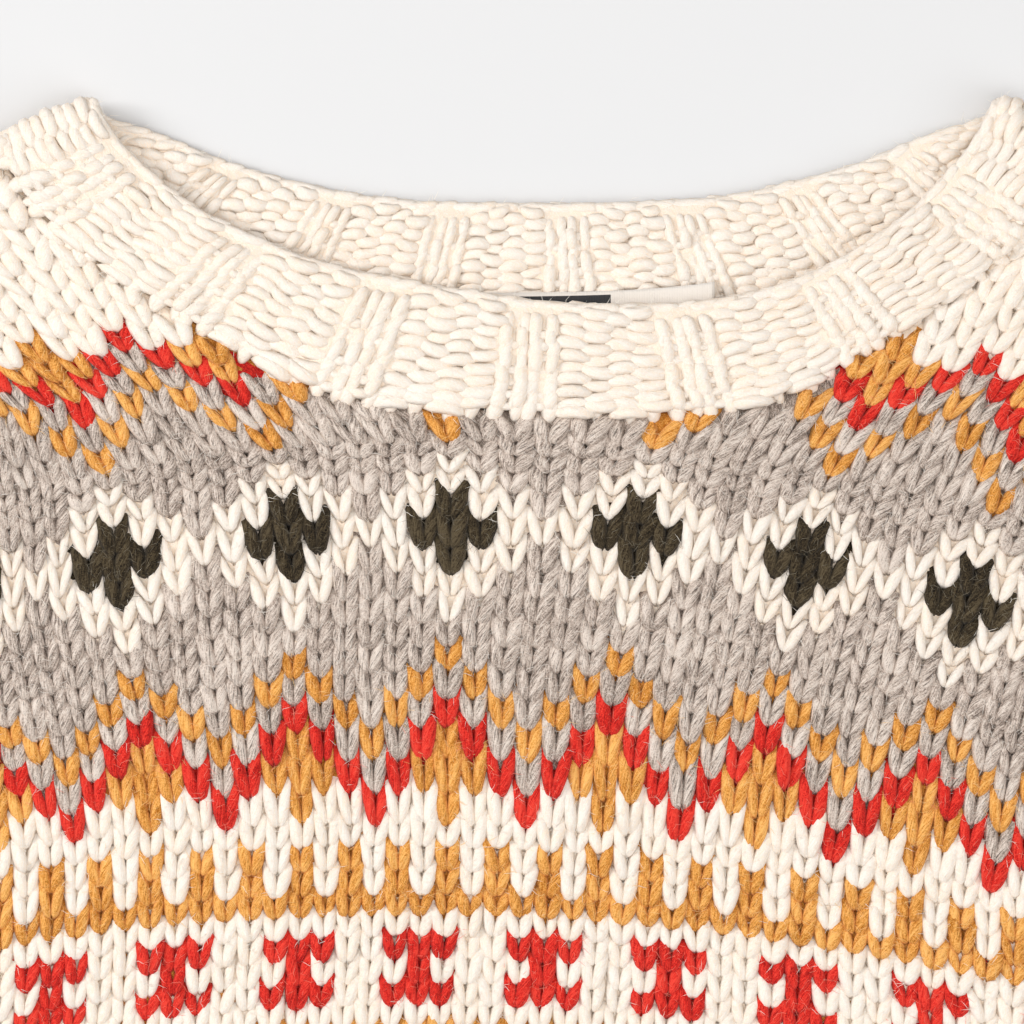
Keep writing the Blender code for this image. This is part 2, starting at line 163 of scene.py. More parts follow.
def add_floor():
    half = FLOOR_SIDE / 2
    mesh = bpy.data.meshes.new("paper_floor")
    corners = [(-half, -half, 0.0), (half, -half, 0.0), (half, half, 0.0), (-half, half, 0.0)]
    mesh.from_pydata(corners, [], [(0, 1, 2, 3)])
    mesh.materials.append(plain_material("pale_paper", (0.735, 0.735, 0.74), 0.9))
    in_scene("paper_floor", mesh)


def add_lights():
    for name, place, target, side, power in LIGHTS:
        light_data = bpy.data.lights.new(name, "AREA")
        light_data.shape = "SQUARE"
        light_data.size = side
        light_data.energy = power
        light = in_scene(name, light_data)
        light.location = place
        aim = np.array(target) - np.array(place)
        light.rotation_mode = "QUATERNION"
        light.rotation_quaternion = Vector(aim).to_track_quat("-Z", "Y")
    world = bpy.data.worlds.new("studio_air")
    world.use_nodes = True
    background = world.node_tree.nodes["Background"]
    background.inputs["Color"].default_value = (1.0, 0.985, 0.965, 1.0)
    background.inputs["Strength"].default_value = SKY_STRENGTH
    bpy.context.scene.world = world


add_floor()
add_lights()
bpy.context.scene.view_settings.view_transform = "Standard"
print("lights", [row[0] for row in LIGHTS])

# %% [markdown]
# Five wools are used: undyed cream, heather grey, mustard, red and a near-black olive. A woollen
# yarn is a soft twist of fine fibres, so each material draws streaks that wind round the yarn,
# reading the stitch's own UV map: across is round the yarn, up is along it. A number that is stored
# on every stitch, its tint, shifts the colour a little from one stitch to the next. The grounds
# under the stitches carry a low tint, which turns them to the deep colour: painted shade in the gaps.

# %% Wool materials
# name: deep, middle and light colour (linear), strength of the dark flecks and of the pale ones
# the deep colour is also painted shade: the grounds in the gaps between the stitches are turned to it
WOOLS = {
    "cream": ((0.98, 0.82, 0.66), (0.932, 0.82, 0.71), (0.945, 0.866, 0.785), 0.00, 0.00),
    "grey": ((0.21, 0.16, 0.13), (0.52, 0.42, 0.355), (0.77, 0.67, 0.59), 0.792, 0.400),
    "mustard": ((0.42, 0.14, 0.010), (0.69, 0.275, 0.046), (0.93, 0.49, 0.145), 0.176, 0.200),
    "red": ((0.34, 0.004, 0.003), (0.65, 0.014, 0.009), (0.84, 0.06, 0.036), 0.132, 0.100),
    "dark": ((0.007, 0.004, 0.001), (0.027, 0.017, 0.007), (0.10, 0.074, 0.040), 0.110, 0.300),
}
YARNS = tuple(WOOLS)
STREAKS_ROUND = 6.0
STREAKS_ALONG = 1.6
FIBRES_ROUND = 34.0
FIBRES_ALONG = 5.0
TWIST = 0.55
FUZZ_SCALE = 2200.0
FLECKS_ROUND = 20.0
FLECKS_ALONG = 3.4
FIBRE_CONTRAST = 1.4
FIBRE_ROUGHNESS = 0.62
FUZZ_SHARE = 0.5
HAIR_SCALE = 620.0
HAIR_SHARE = 0.50
# how far the noise of one stitch lies from the next one's, and how far its tint moves its colour
STITCH_APART = 37.0
TINT_SHIFT = 0.22
# levels of the noise between which one colour turns to the next
DEEP_LEVELS, LIGHT_LEVELS = (1.31, 1.63), (1.57, 1.93)
HAIR_LEVELS, DARK_LEVELS, PALE_LEVELS = (0.060, 0.012), (0.45, 0.33), (0.56, 0.68)
# how much brighter or darker than its yarn's own colour a hair or a fleck is
HAIR_GAIN, DARK_GAIN, PALE_GAIN = 1.1, 0.45, 1.35
WOOL_FINISH = {
    "Roughness": 0.88,
    "Specular IOR Level": 0.18,
    "Sheen Weight": 0.06,
    "Sheen Roughness": 0.6,
}
STREAK_RELIEF = 0.00022
FIBRE_RELIEF = 0.00030


def join(tree, value, socket):
    """Links a socket to an input, or sets the input's value."""
    if isinstance(value, bpy.types.NodeSocket):
        tree.links.new(value, socket)
    else:
        socket.default_value = value


def linked(tree, kind, settings=(), **inputs):
    """Adds a node, sets its properties, and joins its inputs by name, or by number as i0, i1."""
    node = tree.nodes.new(kind)
    for key, value in dict(settings).items():
        setattr(node, key, value)
    for key, value in inputs.items():
        by_number = key[0] == "i" and key[1:].isdigit()
        join(tree, value, node.inputs[int(key[1:]) if by_number else key])
    return node


def math_node(tree, operation, first, second=0.0, third=0.0):
    settings = {"operation": operation}
    return linked(tree, "ShaderNodeMath", settings, i0=first, i1=second, i2=third).outputs[0]


def colour_mix(tree, share, first, second):
    ends = [end if isinstance(end, bpy.types.NodeSocket) else (*end, 1.0) for end in (first, second)]
    settings = {"data_type": "RGBA"}
    return linked(tree, "ShaderNodeMix", settings, i0=share, i6=ends[0], i7=ends[1]).outputs[2]


def band(tree, value, levels):
    """A smooth 0 to 1 between two levels."""
    settings = {"interpolation_type": "SMOOTHSTEP"}
    return linked(tree, "ShaderNodeMapRange", settings, i0=value, i1=levels[0], i2=levels[1]).outputs[0]


def wool_material(yarn):
    deep, middle, light, dark_flecks, pale_flecks = WOOLS[yarn]
    material = bpy.data.materials.new(f"wool_{yarn}")
    material.use_nodes = True
    tree = material.node_tree
    shader = tree.nodes["Principled BSDF"]
    uv = linked(tree, "ShaderNodeUVMap", {"uv_map": "yarn_uv"}).outputs[0]
    tint = linked(tree, "ShaderNodeAttribute", {"attribute_name": "tint"}).outputs["Fac"]
    place = linked(tree, "ShaderNodeTexCoord").outputs["Object"]
    parts = linked(tree, "ShaderNodeSeparateXYZ", (), i0=uv)
    turn = math_node(tree, "MULTIPLY_ADD", parts.outputs[1], TWIST, parts.outputs[0])
    apart = math_node(tree, "MULTIPLY", tint, STITCH_APART)

    def wound(round_count, along_count, detail):
        """Noise drawn out along the yarn, so that it reads as fibres."""
        around = math_node(tree, "MULTIPLY", turn, round_count)
        onward = math_node(tree, "MULTIPLY", parts.outputs[1], along_count)
        winding = linked(tree, "ShaderNodeCombineXYZ", (), i0=around, i1=onward, i2=apart).outputs[0]
        settings = {"Vector": winding, "Scale": 1.0, "Detail": detail, "Roughness": FIBRE_ROUGHNESS}
        return linked(tree, "ShaderNodeTexNoise", (), **settings).outputs[0]

    streak = wound(STREAKS_ROUND, STREAKS_ALONG, 2.0)
    strand = wound(FIBRES_ROUND, FIBRES_ALONG, 2.0)
    fuzz = linked(tree, "ShaderNodeTexNoise", (), Vector=place, Scale=FUZZ_SCALE, Detail=1.0).outputs[0]
    fibre = math_node(tree, "MULTIPLY_ADD", fuzz, FUZZ_SHARE, strand)
    fleck = wound(FLECKS_ROUND, FLECKS_ALONG, 3.0)
    grain = math_node(tree, "MULTIPLY_ADD", fibre, FIBRE_CONTRAST, streak)
    # the tint shifts the colour: at random on the stitches, and down to the deep colour on the grounds as
    # painted shade
    shifted = math_node(tree, "MULTIPLY_ADD", tint, TINT_SHIFT, grain)
    colour = colour_mix(tree, band(tree, shifted, DEEP_LEVELS), deep, middle)
    colour = colour_mix(tree, band(tree, shifted, LIGHT_LEVELS), colour, light)
    curl = linked(
        tree, "ShaderNodeTexNoise", (), Vector=place, Scale=HAIR_SCALE, Detail=1.0, Distortion=2.6
    ).outputs[0]
    ridge = math_node(tree, "ABSOLUTE", math_node(tree, "SUBTRACT", curl, 0.5))
    marks = (
        (ridge, HAIR_LEVELS, HAIR_SHARE, light, HAIR_GAIN),
        (fleck, DARK_LEVELS, dark_flecks, deep, DARK_GAIN),
        (fleck, PALE_LEVELS, pale_flecks, light, PALE_GAIN),
    )
    for value, levels, share, base, gain in marks:
        if share:
            strength = math_node(tree, "MULTIPLY", band(tree, value, levels), share)
            colour = colour_mix(tree, strength, colour, tuple(min(1.0, gain * part) for part in base))
    tree.links.new(colour, shader.inputs["Base Color"])
    for socket, value in WOOL_FINISH.items():
        shader.inputs[socket].default_value = value
    relief = linked(tree, "ShaderNodeBump", (), Strength=0.9, Distance=STREAK_RELIEF, Height=streak)
    fine = linked(tree, "ShaderNodeBump", (), Strength=0.8, Distance=FIBRE_RELIEF, Height=fibre)
    tree.links.new(relief.outputs[0], fine.inputs["Normal"])
    tree.links.new(fine.outputs[0], shader.inputs["Normal"])
    return material


WOOL_MATERIALS = {yarn: wool_material(yarn) for yarn in YARNS}
print("wools", list(WOOL_MATERIALS))

# %% [markdown]
# Hand knitting never lies as a straight grid. On the yoke the rows arch over the chest and the
# wales, the columns of stitches, fan out towards the shoulders. A short table says where some rows
# lie: their drop, the place of the middle wale, how wide the stitches are, and how the row slopes and
# arches. Every row between is worked out from these. Where the cloth has ruckled, stitches stray
# from that smooth lattice by a few pixels, and two small tables of nudges give these strays.

# %% The lattice of rows and wales
# row, drop of its lowest points at the centre line
ROW_DROPS = (
    (-22, -0.0160),
    (-9, 0.0595),
    (-7, 0.0699),
    (-4, 0.0875),
    (-3, 0.0911),
    (-2, 0.0953),
    (-1, 0.1006),
    (0, 0.1073),
    (1, 0.1140),
    (2, 0.1204),
    (6, 0.1445),
    (8, 0.1585),
    (9, 0.1668),
    (10, 0.1755),
    (11, 0.1838),
    (12, 0.1890),
    (14, 0.2010),
    (16, 0.2112),
    (18, 0.2230),
    (20, 0.2340),
    (83, 0.5950),
)
# row, place of the middle wale, stitch width far out, extra width near the middle, slope, arch
ROW_SHAPES = (
    (-22, 0.0020, 0.01080, 0.00450, 0.010, 0.60),
    (-9, 0.0020, 0.00750, 0.00450, 0.024, 0.68),
    (-7, 0.0014, 0.00693, 0.00435, 0.033, 0.79),
    (-4, 0.0012, 0.00708, 0.00155, 0.040, 1.02),
    (1, -0.00165, 0.00705, 0.00055, 0.040, 1.20),
    (6, -0.0037, 0.00668, 0.00040, 0.045, 1.08),
    (11, -0.0050, 0.00640, 0.0, 0.060, 0.74),
    (16, -0.0065, 0.00628, 0.0, 0.053, 0.84),
    (20, -0.00775, 0.00625, 0.0, 0.050, 0.84),
    (83, 0.0, 0.00630, 0.0, 0.0, 0.0),
)
# wales at which a nudge is given
NUDGE_KNOTS = (-26, -19, -15, -9, -3, 3, 9, 15, 19, 26)
# row, then how many pixels its stitches lie to the right of the smooth lattice, or above it
NUDGES_RIGHT = (
    (-6, 0, 0, 0, 0, 0, 0, 0, 0, 0, 0),
    (2, 0, 8, 11, 17, 3, 7, -2, -6, -5, 0),
    (7, 0, 10, 12, 9, 0, 0, -4, -2, 0, 0),
    (18, 0, 8, 7, 6, 0, 1, 2, 12, 16, 0),
    (30, 0, 0, 0, 0, 0, 0, 0, 0, 0, 0),
)
NUDGES_UP = (
    (-5, 0, 0, 0, 0, 0, 0, 0, 0, 0, 0),
    (0, 0, 8, 9, 10, 3, 7, -2, 0, 0, 0),
    (5, 0, 2, 2, 0, 0, 0, 0, 0, 0, 0),
)
ARCH_REACH = 0.130
SIDE_FALL = 0.24
SIDE_FALL_ROWS = (20, 83)
NEAR_WALES = 8.0
FAN_WALES = 17
SIDE_WALE = 45
NARROWEST_STITCH = 0.0052
FIRST_ROW, LAST_ROW = -22, 82
# rounds that halve the span of rows, that settle a wale, and that allow for the nudges
ROW_HALVINGS, WALE_ROUNDS, NUDGE_ROUNDS = 22, 12, 2


def smooth_step(value):
    value = np.clip(value, 0.0, 1.0)
    return value * value * (3.0 - 2.0 * value)


def width_share(y):
    """How much of the chest's width the body keeps where the hem's rib draws it in."""
    above_hem = smooth_step(1.0 - (y - HEM_TOP_Y) / DRAW_IN_REACH)
    spread = smooth_step((HEM_Y + EDGE_SPREAD_REACH - y) / EDGE_SPREAD_REACH)
    return 1.0 - RIB_DRAW_IN * above_hem * (1.0 - EDGE_SPREAD * spread)


def row_value(row, column, table=ROW_SHAPES):
    """One value of a row, read off a table of some of the rows."""
    return np.interp(row, [line[0] for line in table], [line[column] for line in table])


def row_y(row, x):
    """Height up the page of a row at a place across."""
    drop = row_value(row, 1, ROW_DROPS)
    near = np.clip(x, -ARCH_REACH, ARCH_REACH)
    beyond = np.abs(x) - np.abs(near)
    fade = np.interp(row, SIDE_FALL_ROWS, (1.0, 0.0))
    return NECK_Y - drop - row_value(row, 4) * near - row_value(row, 5) * near**2 - SIDE_FALL * fade * beyond


def outer_pitch(reached):
    """Width of a stitch between the fan's end and the side seam."""
    return np.maximum((SIDE_X - reached) / (SIDE_WALE - FAN_WALES), NARROWEST_STITCH)


def fan_pitch(wale, row):
    """Mean width of the stitches between the middle wale and another of the fan."""
    return row_value(row, 2) + row_value(row, 3) / (1.0 + (wale / NEAR_WALES) ** 2)


def wale_x(wale, row):
    """Place across of a wale at a row. The fan at the middle is eased out to the side seams."""
    inner = np.clip(wale, -FAN_WALES, FAN_WALES)
    reached = row_value(row, 1) + inner * fan_pitch(inner, row)
    beyond = np.maximum(np.abs(wale) - FAN_WALES, 0.0)
    return reached + np.sign(wale) * beyond * outer_pitch(np.abs(reached))


def nudge(table, wale, row):
    """A small push off the smooth lattice, read off a table between its rows and knots."""
    rows = [line[0] for line in table]
    pushes = np.stack([np.interp(wale, NUDGE_KNOTS, line[1:]) for line in table])
    place = np.interp(row, rows, np.arange(len(rows)))
    lower = np.minimum(place.astype(int), len(rows) - 2)
    share = place - lower
    column = np.arange(pushes.shape[1])
    return PIXEL * (pushes[lower, column] * (1.0 - share) + pushes[lower + 1, column] * share)


def nudges(wale, row):
    wale, row = np.atleast_1d(wale).astype(float), np.atleast_1d(row).astype(float)
    return nudge(NUDGES_RIGHT, wale, row), nudge(NUDGES_UP, wale, row)


def on_body(wale, row):
    """Plan place of a point of the lattice, drawn in with the body above the hem."""
    right, up = nudges(wale, row)
    x = wale_x(wale, row)
    y = row_y(row, x) + up
    return (x + right) * width_share(y), y


def smooth_stitch_at(wide, y):
    """The wale and row at a place of the smooth lattice."""
    low = np.full(np.shape(wide), float(FIRST_ROW))
    high = np.full(np.shape(wide), LAST_ROW + 8.0)
    for _ in range(ROW_HALVINGS):
        middle = (low + high) / 2
        above = row_y(middle, wide) > y
        low = np.where(above, middle, low)
        high = np.where(above, high, middle)
    row = (low + high) / 2
    wale = (wide - row_value(row, 1)) / row_value(row, 2)
    for _ in range(WALE_ROUNDS):
        wale = (wide - row_value(row, 1)) / fan_pitch(wale, row)
    edge = np.sign(wide) * FAN_WALES
    reached = wale_x(edge, row)
    outer = (wide - reached) / outer_pitch(np.abs(reached))
    return np.where(np.abs(wale) > FAN_WALES, edge + outer, wale), row


def stitch_at(x, y):
    """The wale and row at a place of the body: on_body turned round."""
    wide, y = np.atleast_1d(x / width_share(y)), np.atleast_1d(y)
    wale, row = smooth_stitch_at(wide, y)
    for _ in range(NUDGE_ROUNDS):
        right, up = nudges(wale, row)
        wale, row = smooth_stitch_at(wide - right, y - up)
    return wale, row


print("row 1 at the centre line", on_body(0.0, 1.0), "and back", stitch_at(*on_body(5.3, 7.2)))

# %% [markdown]
# The pattern is charted as a knitter charts it: one letter for each stitch, W for cream, G grey,
# M mustard, R red and D dark. The diamonds and the zigzags repeat over six stitches and are mirrored
# about the diamond's own wale, so four letters say a whole row. The blocks below repeat over five.

# %% The colour chart
LETTERS = "WGMRD"
DIAMOND_WALE = 3
DIAMOND_ROWS = {
    -9: "MWWR",
    -8: "MMRG",
    -7: "MRGM",
    -6: "RGMG",
    -5: "GMGG",
    -4: "MGGG",
    -3: "GGGG",
    -2: "WGGG",
    -1: "WWGG",
    0: "DWWG",
    1: "DDWW",
    2: "DWWG",
    3: "WWGG",
    4: "WGGG",
    5: "GGGG",
    6: "MGGG",
    7: "GMGG",
    8: "RGMG",
    9: "MRGM",
    10: "MMRG",
    11: "MWWR",
}
# row: one letter for each stitch of the repeat
BLOCK_ROWS = {
    13: "WM",
    14: "WM",
    15: "M",
    17: "RRRWW",
    18: "WRWWW",
    19: "RRRWW",
    21: "M",
    22: "WM",
    23: "WM",
}


def yarn_of(wale, row):
    """The number of the yarn of one stitch of the body."""
    if row in DIAMOND_ROWS:
        step = (wale + DIAMOND_WALE) % 6
        return LETTERS.index(DIAMOND_ROWS[row][min(step, 6 - step)])
    repeat = BLOCK_ROWS.get(row, "W")
    return LETTERS.index(repeat[wale % len(repeat)])


for row in range(-9, 24):
    print(f"{row:4d}", "".join(LETTERS[yarn_of(wale, row)] for wale in range(-15, 16)))

# %% [markdown]
# A knit stitch shows as a V: two plump legs that rise from one point and part. Each leg is a
# tapered tube. Its foot stands forward, where it comes through the loop below, and its top dips back
# behind the foot of the stitch above. The neckband is tighter, and its stitches are drawn in true
# metres: two straight strands for a knit wale, two bows across for a purl wale, two fingers where
# the band is picked up, and a slanting link for its edge. Each pattern stitch is made once, and
# stitches of few faces serve the plain cloth far from the camera.

# %% Stitch shapes
ROW_SHARE = 0.83


def tube(spine, radii, sides, flatness):
    """Points and faces of a closed tube through a spine, drawn to a point at both ends."""
    spine = np.array(spine, float)
    tangent = np.gradient(spine, axis=0)
    tangent /= np.linalg.norm(tangent, axis=1)[:, None]
    points, uvs = [spine[0]], [(0.5, 0.0)]
    count = len(spine)
    for number in range(1, count - 1):
        aside = np.cross(tangent[number], (0.0, 0.0, 1.0))
        aside /= np.linalg.norm(aside)
        upward = np.cross(aside, tangent[number])
        for side in range(sides):
            angle = 2 * math.pi * side / sides
            reach = aside * math.cos(angle) + upward * math.sin(angle) * flatness
            points.append(spine[number] + reach * radii[number])
            uvs.append((side / sides, number / (count - 1)))
    points.append(spine[-1])
    uvs.append((0.5, 1.0))
    faces = []
    for side in range(sides):
        following = (side + 1) % sides
        faces.append((0, 1 + side, 1 + following))
        for number in range(count - 3):
            first = 1 + number * sides
            faces.append((first + following, first + side, first + sides + side, first + sides + following))
        last = 1 + (count - 3) * sides
        faces.append((last + following, last + side, len(points) - 1))
    return points, faces, uvs


def stitch_object(name, tubes):
    """One object of several closed tubes, in stitch widths across and rows up."""
    points, faces, uvs = [], [], []
    for tube_points, tube_faces, tube_uvs in tubes:
        faces += [tuple(corner + len(points) for corner in face) for face in tube_faces]
        points += list(tube_points)
        uvs += tube_uvs
    mesh = bpy.data.meshes.new(name)
    mesh.from_pydata([(x, y / ROW_SHARE, z) for x, y, z in points], [], faces)
    layer = mesh.uv_layers.new(name="yarn_uv")
    for face in mesh.polygons:
        across = [uvs[mesh.loops[k].vertex_index][0] for k in face.loop_indices]
        wraps = max(across) - min(across) > 0.5
        for k, u in zip(face.loop_indices, across):
            along = uvs[mesh.loops[k].vertex_index][1]
            layer.data[k].uv = (u + 1.0 if wraps and u < 0.5 else u, along)
    mesh.shade_smooth()
    return in_scene(name, mesh)


def leg(side, foot, top, reach, radius, rings, sides, foot_drop=0.0, flatness=0.85):
    """One leg of a knit stitch, from its foot at the middle to its top at the edge."""
    share = np.linspace(0.0, 1.0, rings)
    across = side * (foot + (top - foot) * share**0.9)
    up = (-foot_drop + reach * share) * ROW_SHARE
    rise = radius * np.interp(share, (0.0, 0.15, 0.35, 0.8, 1.0), (-0.5, 0.3, 0.5, -0.2, -1.0))
    radii = radius * np.sin(math.pi * (0.06 + 0.88 * share)) ** 0.5
    return tube(np.stack([across, up, rise], axis=1), radii, sides, flatness)


def bow(middle, height, width, arch, radius, rings, sides):
    """A purl bump: a short bow across, with its ends tucked in."""
    share = np.linspace(-1.0, 1.0, rings)
    across = middle + share * width / 2
    up = (height + arch * (1.0 - share**2)) * ROW_SHARE
    rise = radius * (0.3 - 1.1 * share**4)
    radii = radius * (1.0 - share**4) ** 0.5
    return tube(np.stack([across, up, rise], axis=1), radii, sides, 0.9)


KNIT_RINGS, KNIT_SIDES = 7, 6
knit_stitch = stitch_object(
    "knit_stitch",
    [leg(side, 0.08, 0.46, 1.86, 0.250, KNIT_RINGS, KNIT_SIDES, 0.36, 0.72) for side in (-1, 1)],
)
plain_stitch = stitch_object(
    "plain_stitch", [leg(side, 0.09, 0.45, 1.80, 0.30, 4, 3, 0.34) for side in (-1, 1)]
)


def band_object(name, width, tubes):
    """A stitch of the neckband, drawn in metres for a wale of a given width and a short row."""
    scaled = []
    for points, faces, uvs in tubes:
        rows = [(x / width, y / BAND_ROW * ROW_SHARE, z / BAND_RISE) for x, y, z in points]
        scaled.append((rows, faces, uvs))
    return stitch_object(name, scaled)


# rings along each tube of the neckband's stitches and link, and sides round it
BAND_RINGS, BAND_SIDES = 7, 6


def strand(across, start, end, radius):
    """One strand of a rib's knit stitch: straight and of even thickness, with its ends tucked under."""
    share = np.linspace(0.0, 1.0, BAND_RINGS)
    rise = radius * np.interp(share, (0.0, 0.25, 0.5, 0.75, 1.0), (-0.9, 0.0, 0.1, 0.0, -0.9))
    radii = radius * (1.0 - np.abs(2 * share - 1.0) ** 5) ** 0.5
    line = np.stack([across + 0.0003 * share, start + (end - start) * share, rise], axis=1)
    return tube(line, radii, BAND_SIDES, 0.72)


def finger(across, start, end, radius, lean):
    """A picked-up strand: it runs down over the seam and thins out to its foot."""
    share = np.linspace(0.0, 1.0, BAND_RINGS)
    rise = radius * np.interp(share, (0.0, 0.3, 0.6, 1.0), (-1.1, -0.4, 0.0, -0.5))
    radii = radius * np.array([0.0, 0.62, 0.85, 1.0, 1.0, 0.85, 0.0])
    line = np.stack([across + lean * share, start + (end - start) * share, rise], axis=1)
    return tube(line, radii, BAND_SIDES, 0.66)


def bump(middle, height, width, arch, radius, sink=0.0):
    """A purl bump: a fat short bow across, with both ends tucked in."""
    share = np.linspace(-1.0, 1.0, BAND_RINGS)
    rise = radius * (0.25 - 0.85 * share**2) - sink
    line = np.stack([middle + share * width / 2, height + arch * (1.0 - share**2), rise], axis=1)
    return tube(line, radius * (1.0 - np.abs(share) ** 3.0) ** 0.5, BAND_SIDES, 0.62)


# height of one row of the band, and the scale of its stitches' rise
BAND_ROW, BAND_RISE = 0.0031, 0.0072
rib_stitch = band_object(
    "rib_stitch",
    0.0066,
    [
        strand(-0.0020, -0.0010, 0.0062, 0.00165),
        strand(0.0019, -0.0010, 0.0062, 0.00160),
        bump(0.0, 0.0012, 0.0042, -0.0008, 0.00130, 0.0004),
    ],
)
purl_stitch = band_object(
    "purl_stitch",
    0.0110,
    [bump(-0.0026, 0.0005, 0.0092, 0.0014, 0.00180), bump(0.0030, 0.0046, 0.0092, -0.0014, 0.00175)],
)
stub_stitch = band_object(
    "stub_stitch",
    0.0066,
    [finger(-0.0020, -0.0046, 0.0034, 0.00175, -0.0003), finger(0.0020, -0.0040, 0.0034, 0.00170, 0.0004)],
)
plain_rib = stitch_object("plain_rib", [leg(side, 0.17, 0.33, 1.7, 0.22, 4, 3, 0.1) for side in (-1, 1)])
plain_purl = stitch_object(
    "plain_purl",
    [
        bow(0.02, 0.20, 0.88, 0.10, 0.19, 5, 3),
        bow(0.50, 0.72, 0.84, -0.10, 0.18, 5, 3),
    ],
)
edge_share = np.linspace(-1.0, 1.0, BAND_RINGS)
edge_spine = np.stack([0.95 * edge_share, 0.09 * edge_share, -0.10 * edge_share**2], axis=1)
edge_radii = 0.30 * (1 - edge_share**4) ** 0.5
edge_link = stitch_object("edge_link", [tube(edge_spine, edge_radii, BAND_SIDES, 0.72)])
NEAR_STITCHES = (knit_stitch, rib_stitch, purl_stitch, stub_stitch, edge_link)
STITCH_PATTERNS = (*NEAR_STITCHES, plain_stitch, plain_rib, plain_purl)
print("faces", {item.name: len(item.data.polygons) for item in STITCH_PATTERNS})

# %% [markdown]
# The knitting itself is one Geometry Nodes tree. It takes points, one for each stitch, sets the
# stitch on each with a little seeded turn and growth, as no two hand-made stitches are alike, stores
# the tint, and gives each its wool by the yarn number that its point carries.

# %% The knitting tree


def new_tree(name, sockets):
    """An empty modifier tree with its named inputs and one geometry output."""
    tree = bpy.data.node_groups.new(name, "GeometryNodeTree")
    tree.is_modifier = True
    for label, kind, default in sockets:
        socket = tree.interface.new_socket(label, in_out="INPUT", socket_type=f"NodeSocket{kind}")
        if default is not None:
            socket.default_value = default
    tree.interface.new_socket("Geometry", in_out="OUTPUT", socket_type="NodeSocketGeometry")
    return tree, tree.nodes.new("NodeGroupInput").outputs


def random_value(tree, kind, low, high, seed):
    """A seeded random number or vector between two others."""
    node = linked(tree, "FunctionNodeRandomValue", {"data_type": kind}, Seed=seed)
    wanted = {"FLOAT": "VALUE", "FLOAT_VECTOR": "VECTOR"}[kind]
    for socket, value in zip([end for end in node.inputs if end.type == wanted], (low, high)):
        join(tree, value, socket)
    return next(end for end in node.outputs if end.type == wanted)


def dyed_by_yarn(tree, cloth, materials):
    """Gives each part of the geometry its material, by the yarn number that it carries."""
    yarn = linked(tree, "GeometryNodeInputNamedAttribute", {"data_type": "INT"}, Name="yarn")
    for number, name in enumerate(YARNS):
        same = linked(tree, "FunctionNodeCompare", {"data_type": "INT", "operation": "EQUAL"})
        whole = [socket for socket in same.inputs if socket.type == "INT"]
        tree.links.new(yarn.outputs[0], whole[0])
        whole[1].default_value = number
        inputs = {"Geometry": cloth, "Selection": same.outputs[0], "Material": materials[name]}
        cloth = linked(tree, "GeometryNodeSetMaterial", (), **inputs).outputs[0]
    return cloth


def finished_tree(tree, instances, materials):
    """Makes the instances real and dyes them, as the tree's last steps."""
    real = linked(tree, "GeometryNodeRealizeInstances", i0=instances).outputs[0]
    tree.links.new(dyed_by_yarn(tree, real, materials), tree.nodes.new("NodeGroupOutput").inputs[0])
    return tree


def knitting_tree():
    sockets = (
        ("Geometry", "Geometry", None),
        ("Stitch", "Object", None),
        ("Turn spread", "Float", 0.06),
        ("Size spread", "Float", 0.06),
        ("Shift spread", "Float", 0.03),
        ("Seed", "Int", 1),
    )
    tree, given = new_tree("knitting", sockets)
    stitch = linked(tree, "GeometryNodeObjectInfo", (), Object=given["Stitch"])

    def spread(socket, sizes, seed_step):
        scale = {"operation": "SCALE"}
        high = linked(tree, "ShaderNodeVectorMath", scale, i0=sizes, Scale=given[socket]).outputs[0]
        low = linked(tree, "ShaderNodeVectorMath", scale, i0=high, Scale=-1.0).outputs[0]
        seed = linked(tree, "FunctionNodeIntegerMath", {"operation": "ADD"}, i0=given["Seed"], i1=seed_step)
        return random_value(tree, "FLOAT_VECTOR", low, high, seed.outputs[0])

    grown_by = spread("Size spread", (1.0, 1.0, 1.5), 1)
    growth = linked(tree, "ShaderNodeVectorMath", {"operation": "ADD"}, i0=(1.0, 1.0, 1.0), i1=grown_by)
    set_on = linked(
        tree,
        "GeometryNodeInstanceOnPoints",
        Points=given["Geometry"],
        Instance=stitch.outputs["Geometry"],
        Rotation=spread("Turn spread", (0.5, 0.5, 1.0), 2),
        Scale=growth.outputs[0],
    )
    shift = spread("Shift spread", (1.0, 1.2, 1.5), 3)
    moved = linked(
        tree, "GeometryNodeTranslateInstances", Instances=set_on.outputs[0], Translation=shift
    )
    tinted = linked(
        tree,
        "GeometryNodeStoreNamedAttribute",
        {"data_type": "FLOAT", "domain": "INSTANCE"},
        Name="tint",
        Geometry=moved.outputs[0],
        Value=random_value(tree, "FLOAT", 0.0, 1.0, given["Seed"]),
    )
    return finished_tree(tree, tinted.outputs[0], WOOL_MATERIALS)


def input_ids(tree):
    return {item.name: item.identifier for item in tree.interface.items_tree if item.in_out == "INPUT"}


KNITTING = knitting_tree()
print("inputs", input_ids(KNITTING))

# %% [markdown]
# A swatch is knitted flat first, with one unit for a stitch across and one for a row up. It comes
# out of the tree as a plain mesh. Each leg is then plumped or thinned along its normals by its
# yarn, and leans a little its own way, for the tops of a V's legs part while its feet meet. Last,
# every point is laid in its place: across and up by the lattice, and high by the CAD wall under it.

# %% Knit a swatch and lay it
# how much each yarn is thicker than the pattern stitch, in stitch widths
PLUMP = (0.0, 0.008, -0.006, 0.0, 0.016)
# the cream is drawn thin where it outlines the diamonds, and lies full in the plain cloth
CREAM_DRAWN, CREAM_FULL, CREAM_STRETCHED = -0.045, 0.012, 0.030
STITCH_LIFT = 0.18
YARN_SINK = 0.0011
LEG_THIN_SPREAD = 0.016
LEG_LEAN_SPREAD = 0.035
LEG_LIFT_SPREAD = 0.030
# how far each leg of a V leans out, and how much more where the cream is drawn thin
V_LEAN, V_LEAN_DRAWN = 0.045, 0.050


